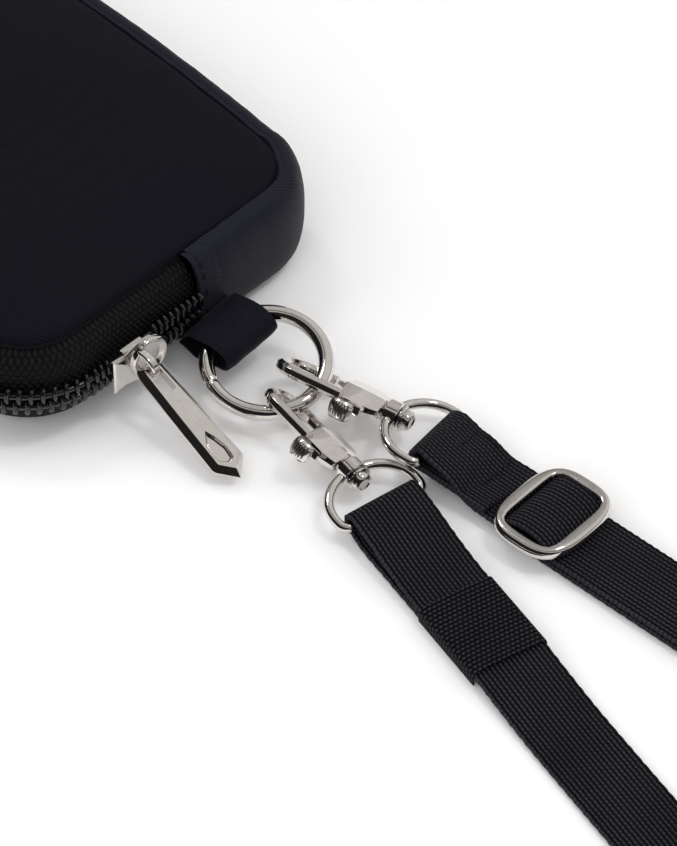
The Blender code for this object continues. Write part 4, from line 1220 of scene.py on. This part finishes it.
def add_adjuster(place):
    """The slide adjuster: a bevelled frame with satin faces, and the webbing humped over its bar."""
    under_frame = TOP + WEB_THICK / 2 + 2 * GAP
    spot = place_of(place(ADJUSTER_AT, 0, under_frame + 1.2), heading=STRAP_A_HEADING)
    outer = squarish(*ADJUSTER_OUTER, 3.0, 48)
    inner = squarish(*ADJUSTER_INNER, 6.5, 48)
    levels = [
        (inset(outer, 0.5), -1.2), (outer, -0.75), (outer, 0.35), (inset(outer, 0.35), 0.85),
        (inset(outer, 0.8), 1.1), (inset(inner, -0.55), 1.1), (inset(inner, -0.12), 0.85), (inner, 0.4),
        (inner, -0.85), (inset(inner, -0.35), -1.2),
    ]
    ring = metal("adjuster_ring", stack(levels, closed=True), "adjuster", ["adjuster_frame"], spot, crease=50)
    ring.data.materials.append(SATIN)
    for face in ring.data.polygons:
        heights = [levels[v // len(outer)][1] for v in face.vertices]
        if min(heights) > 1.05:
            face.material_index = 1
    rod = [(0, y, -0.5) for y in (-9.0, -4.0, 4.0, 9.0)]
    middle = metal("adjuster_bar", sweep(along(rod, UP), circle(0.6, 10, 0.9)), "adjuster", place=spot)
    rise = [(-5.6, -1.0), (-4.8, -0.1), (-3.8, 0.6), (-2.4, 1.15), (-0.9, 1.4)]
    hump = [Vector((x, 0, z)) for x, z in rise + [(-x, z) for x, z in reversed(rise)]]
    route, sides = smooth_route(hump, [Vector((0, 1, 0))] * len(hump), 0.5)
    webbed = webbing_piece("adjuster_hump", route, sides, ["adjuster_webbing"], "adjuster", spot)
    return ring, middle, webbed


def add_rectangular_ring(place):
    """The flat ring where the two webbings meet."""
    half_long = RECTANGULAR_RING_HALF[0]
    spot = place_of(place(RECTANGULAR_RING_AT + half_long, 0, RECTANGULAR_RING_Z), heading=STRAP_A_HEADING)
    route = [(x, y, 0) for x, y in rounded_rectangle(*RECTANGULAR_RING_HALF, 1.6, 6)]
    shape = sweep(along(route, UP, closed=True), circle(RECTANGULAR_RING_WIRE, 16), closed=True)
    return metal("flat_ring", shape, "pouch", ["rectangular_ring"], spot)


def twist_angle(share):
    """How far the webbing has turned on its edge."""
    return math.pi / 2 * min(1.0, 1.2 * share)


def twisted(flat, share):
    """The side direction of webbing that has turned a share of the way on to its edge."""
    angle = twist_angle(share)
    return flat * math.cos(angle) + UP * math.sin(angle)


def twist_height(share):
    """The middle's height while the lower edge stays on the surface."""
    angle = twist_angle(share)
    edge = WEB_WIDTH / 2 * math.sin(angle) + WEB_THICK / 2 * math.cos(angle)
    return edge + 0.25 + (ROLL_FLOOR - 0.25) * share


def bezier(corners, t):
    """A point of a cubic curve from its four corner points."""
    a, b, c, d = corners
    return a * (1 - t) ** 3 + b * 3 * t * (1 - t) ** 2 + c * 3 * t ** 2 * (1 - t) + d * t ** 3


def on_roll(angle, radius):
    """A point of the webbing's middle while it stands on edge in the roll."""
    out = Vector((math.cos(angle), math.sin(angle), 0))
    return ROLL_CENTRE + out * radius + UP * (ROLL_FLOOR + WEB_WIDTH / 2)


def roll_route(entry):
    """The stored length: in along one arm of a double spiral, across the middle, out along the other."""
    away = entry - ROLL_CENTRE
    start = math.atan2(away.y, away.x)
    outer = Vector((away.x, away.y)).length
    end = math.radians(ROLL_TURNS_TO)
    grow = (outer - ROLL_CORE) / (end - start)
    steps = 110
    inward = []
    for i in range(1, steps + 1):
        angle = start + (end - start) * i / steps
        inward.append(on_roll(angle, outer - grow * (angle - start)))
    first = inward[-1]
    last = on_roll(end + math.pi, ROLL_CORE)
    pull = Vector((-12.0, 0, 0))
    middle = [bezier((first, first + pull, last - pull, last), t / 10) for t in range(1, 10)]
    leave = math.radians(TAIL_LEAVES_AT)
    outward = []
    for i in range(steps):
        angle = end + math.pi + (leave - end - math.pi) * i / steps
        radius = outer - grow * (angle - math.pi - start)
        past = math.radians(TAIL_LEAVES_AT + TAIL_LET_GO) - angle
        let_go = min(1.0, max(0.0, past / math.radians(TAIL_LET_GO)))
        share = let_go * let_go * (3 - 2 * let_go)
        outward.append(on_roll(angle, radius + (TAIL_RADIUS - radius) * share))
    return inward + middle + outward


def tail_route(ring_place):
    """From the roll, turning flat again, to a wrap round the rectangular ring's far bar."""
    start_turn = math.radians(TAIL_LEAVES_AT)
    out = Vector((math.cos(start_turn), math.sin(start_turn), 0))
    leave = ROLL_CENTRE + out * TAIL_RADIUS
    ahead = Vector((out.y, -out.x, 0))
    bar_middle = ring_place(RECTANGULAR_RING_AT + 2 * RECTANGULAR_RING_HALF[0])
    arrive = ring_place(RECTANGULAR_RING_AT + 13.0)
    back = (ring_place(1) - ring_place(0)) * -1
    reach = (arrive - leave).length
    corners = (leave, leave + ahead * reach * 0.4, arrive - back * reach * 0.55, arrive)
    level = [bezier(corners, i / TAIL_STEPS) for i in range(TAIL_STEPS + 1)]
    route = []
    sides = []
    for i, point in enumerate(level):
        edge = min(1.0, (TAIL_STEPS - i) / (TAIL_STEPS - 3))
        lift = (TOP - 0.25 - WEB_THICK / 2 + 1.7) * (1 - edge)
        route.append(Vector((point.x, point.y, twist_height(edge) + lift)))
        sides.append(twisted(ahead_at(level, i).cross(UP), edge))
    for x, z in arc((0, RECTANGULAR_RING_Z), RECTANGULAR_RING_WRAP, 90, 270, 4):
        route.append(bar_middle - back * x + UP * z)
        sides.append(ring_place(0, 1) - ring_place(0))
    return route, sides


def add_strap_b(ring_place):
    """Webbing from clip b, folded and sewn under the keeper, to the roll and on to the ring."""
    middle, level = d_bar("b")
    place = on_strap((middle.x, middle.y), STRAP_B_HEADING)
    flat = place(0, 1) - place(0)
    route = fold_route(place, middle, level, KEEPER_AT[0] + 4, UNDER)
    fold_count = len(route)
    run = [(6.0, middle.z + 1.3), (14.0, TOP + 0.9), (22.0, TOP), (30.0, TOP), (40.0, TOP)]
    run += [(52.0, UNDER + 0.6), (62.0, UNDER), (90.0, UNDER), (112.0, UNDER)]
    route += [place(s, 0, z) for s, z in run]
    sides = sides_of(level, flat, fold_count, len(route))
    entry = Vector((ROLL_CENTRE.x - 3, ROLL_CENTRE.y - ROLL_RADIUS - 2.2, 0))
    last = route[-1]
    for i in range(1, TWIST_STEPS + 1):
        share = i / TWIST_STEPS
        point = last.lerp(entry, share)
        route.append(Vector((point.x, point.y, twist_height(share))))
        sides.append(twisted(flat, share))
    stored = roll_route(entry)
    tail, tail_sides = tail_route(ring_place)
    route += stored + tail
    sides += [UP] * len(stored) + tail_sides
    seen, seen_sides = smooth_route(route, sides, 1.0)
    strap = webbing_piece("strap_b_webbing", seen, seen_sides, ["strap_b_run", "strap_roll", "strap_b_tail"])
    keeper = add_keeper(place)
    tie = add_tie()


def add_keeper(place):
    """A short sleeve of webbing over the sewn end; its ribs run round the strap."""
    low, high = KEEPER_AT
    spot = place_of(place((low + high) / 2, 0, 0), heading=STRAP_B_HEADING)
    half = WEB_WIDTH / 2 + 0.2
    lid = TOP + WEB_THICK / 2 + GAP
    ring = [(half, 0.25), (half + 0.1, 2.0), (half - 0.1, lid - 0.2), (half - 0.9, lid + 0.25)]
    ring += [(half * 0.5, lid + 0.4), (0, lid + 0.45)]
    side = ring + [(-y, z) for y, z in reversed(ring[:-1])]
    points = [Vector((0, y, z)) for y, z in side]
    route, _ = smooth_route(points, points, 0.6)
    rows = []
    length = high - low
    for here, ahead, travelled in walked(route):
        out = Vector((1, 0, 0)).cross(ahead)
        row = []
        for j in range(13):
            x = length * (j / 12 - 0.5)
            inner = here + Vector((x, 0, 0))
            row.append((inner + out * (0.6 - 0.3 * abs(2 * x / length) ** 8), inner, (x, travelled)))
        rows.append(row)
    shape, uvs = sheet(rows)
    return piece("keeper_sleeve", shape, WEBBING_PAINTED_LIGHT_GRID, "pouch", "black_webbing", ["keeper"], uvs, spot, crease=60)


def add_tie():
    """An elastic band through the middle of the roll and round its outside."""
    low = ROLL_FLOOR - GAP - TIE_THICK / 2
    high = ROLL_FLOOR + WEB_WIDTH + GAP + TIE_THICK / 2
    near = ROLL_INNER - 2.2
    far = ROLL_RADIUS + 2 * GAP + TIE_THICK / 2 + 0.9
    centre = Vector(((near + far) / 2, 0, (low + high) / 2))
    outline = rounded_rectangle((far - near) / 2, (high - low) / 2, 0.8, 4)
    route = [ROLL_CENTRE + centre + Vector((x, 0, z)) for x, z in outline]
    frames = along(route, (0, 1, 0), closed=True)
    section = bar(TIE_THICK / 2, TIE_WIDTH / 2, 0.1)
    shape = sweep(frames, section, closed=True)
    return piece("elastic_tie", shape, LINING, "pouch", "black_lining", ["roll_tie"])


# ---------------------------------------------------------------- what stays as it is
def paint_nodes():
    """Inner pieces keep their CAD shape and take a finished material."""
    looks = {
        LINING: ["front_lining", "back_lining", "front_seam_binding", "back_seam_binding"],
        FOAM: ["front_foam", "back_foam"],
    }
    for look, names in looks.items():
        for name in names:
            repaint(name, look)


# ---------------------------------------------------------------- stage
def add_stage():
    """The white surface that all of it lies on."""
    floor_mesh = bpy.data.meshes.new("floor")
    size = 6.0
    corners = [(x * size, y * size, 0) for x, y in ((-1, -1), (1, -1), (1, 1), (-1, 1))]
    floor_mesh.from_pydata(corners, [], [(0, 1, 2, 3)])
    floor = bpy.data.objects.new("floor", floor_mesh)
    bpy.context.collection.objects.link(floor)
    n = Nodes("floor", (0.90, 0.90, 0.905), roughness=0.85)
    n.set("Specular IOR Level", 0.15)
    floor.data.materials.append(n.material)


def add_light(name, spot, size, power, in_metal=True, target=(0.1, 0.0, 0.0)):
    """A soft rectangular lamp; in_metal says whether polished metal shows it."""
    data = bpy.data.lights.new(name, "AREA")
    data.shape = "RECTANGLE"
    data.size, data.size_y = size
    data.energy = power
    lamp = bpy.data.objects.new(name, data)
    lamp.location = spot
    lamp.visible_glossy = in_metal
    lamp.rotation_euler = (Vector(target) - Vector(spot)).to_track_quat("-Z", "Y").to_euler()
    bpy.context.collection.objects.link(lamp)


def add_world():
    """A studio that is pale behind the pouch and dark on the near side, so that metal has both to show."""
    world = bpy.data.worlds.new("room")
    bpy.context.scene.world = world
    world.use_nodes = True
    tree = world.node_tree
    back = tree.nodes["Background"]
    place = tree.nodes.new("ShaderNodeTexCoord")
    facing = tree.nodes.new("ShaderNodeVectorMath")
    facing.operation = "DOT_PRODUCT"
    facing.inputs[1].default_value = Vector((0.10, 0.70, 0.70)).normalized()
    ramp = tree.nodes.new("ShaderNodeValToRGB")
    stops = (
        (0.0, 0.02), (0.20, 0.03), (0.28, 0.40), (0.42, 0.80), (0.48, 0.10), (0.57, 0.08), (0.62, 0.50),
        (0.84, 0.62), (0.88, 0.80), (1.0, 0.72),
    )
    elements = ramp.color_ramp.elements
    while len(elements) < len(stops):
        elements.new(0.5)
    for element, (position, grey) in zip(elements, stops):
        element.position = position
        element.color = (grey, grey * 0.975, grey * 0.95, 1)
    tree.links.new(place.outputs["Generated"], facing.inputs[0])
    tree.links.new(facing.outputs["Value"], ramp.inputs[0])
    tree.links.new(ramp.outputs[0], back.inputs["Color"])
    back.inputs["Strength"].default_value = 0.88


def add_camera():
    """A long lens that looks down at the pouch from beyond its ring."""
    azimuth = math.radians(CAMERA_AZIMUTH)
    elevation = math.radians(CAMERA_ELEVATION)
    level = math.cos(elevation)
    away = Vector((math.sin(azimuth) * level, -math.cos(azimuth) * level, math.sin(elevation)))
    data = bpy.data.cameras.new("camera")
    data.lens = LENS
    data.sensor_width = 36.0
    data.clip_start = 0.01
    camera = bpy.data.objects.new("camera", data)
    camera.location = LOOK_AT + away * CAMERA_DISTANCE
    camera.rotation_euler = away.to_track_quat("Z", "Y").to_euler()
    bpy.context.collection.objects.link(camera)
    bpy.context.scene.camera = camera


def main():
    add_camera()
    ring_place = add_strap_a()
    add_strap_b(ring_place)
    add_panels()
    add_gusset()
    add_zip()
    add_end_tab("zip_start_flap", ZIP_START, -1, "zip_end_tab_start")
    add_end_tab("zip_finish_flap", ZIP_END, 1, "zip_end_tab_finish")
    add_slider()
    add_pull()
    add_tab()
    add_ring()
    add_clips()
    paint_nodes()
    add_stage()
    add_world()
    add_light("key", (0.55, 0.85, 1.10), (0.9, 0.9), 3.6, in_metal=False)
    add_light("top", (0.05, -0.10, 1.50), (1.2, 1.2), 3.4, in_metal=False)
    add_light("fill", (0.60, -0.90, 0.75), (1.6, 1.0), 9.0, in_metal=False)
    add_light("west", (-0.90, -0.70, 0.80), (1.4, 1.0), 6.5, in_metal=False, target=(0.0, -0.05, 0.0))
    add_light("glint", (0.55, 0.35, 1.30), (0.22, 0.22), 2.5)
    add_light("left", (-0.75, 0.20, 1.10), (0.25, 0.25), 2.0)
    bpy.context.scene.view_settings.view_transform = "Standard"


main()
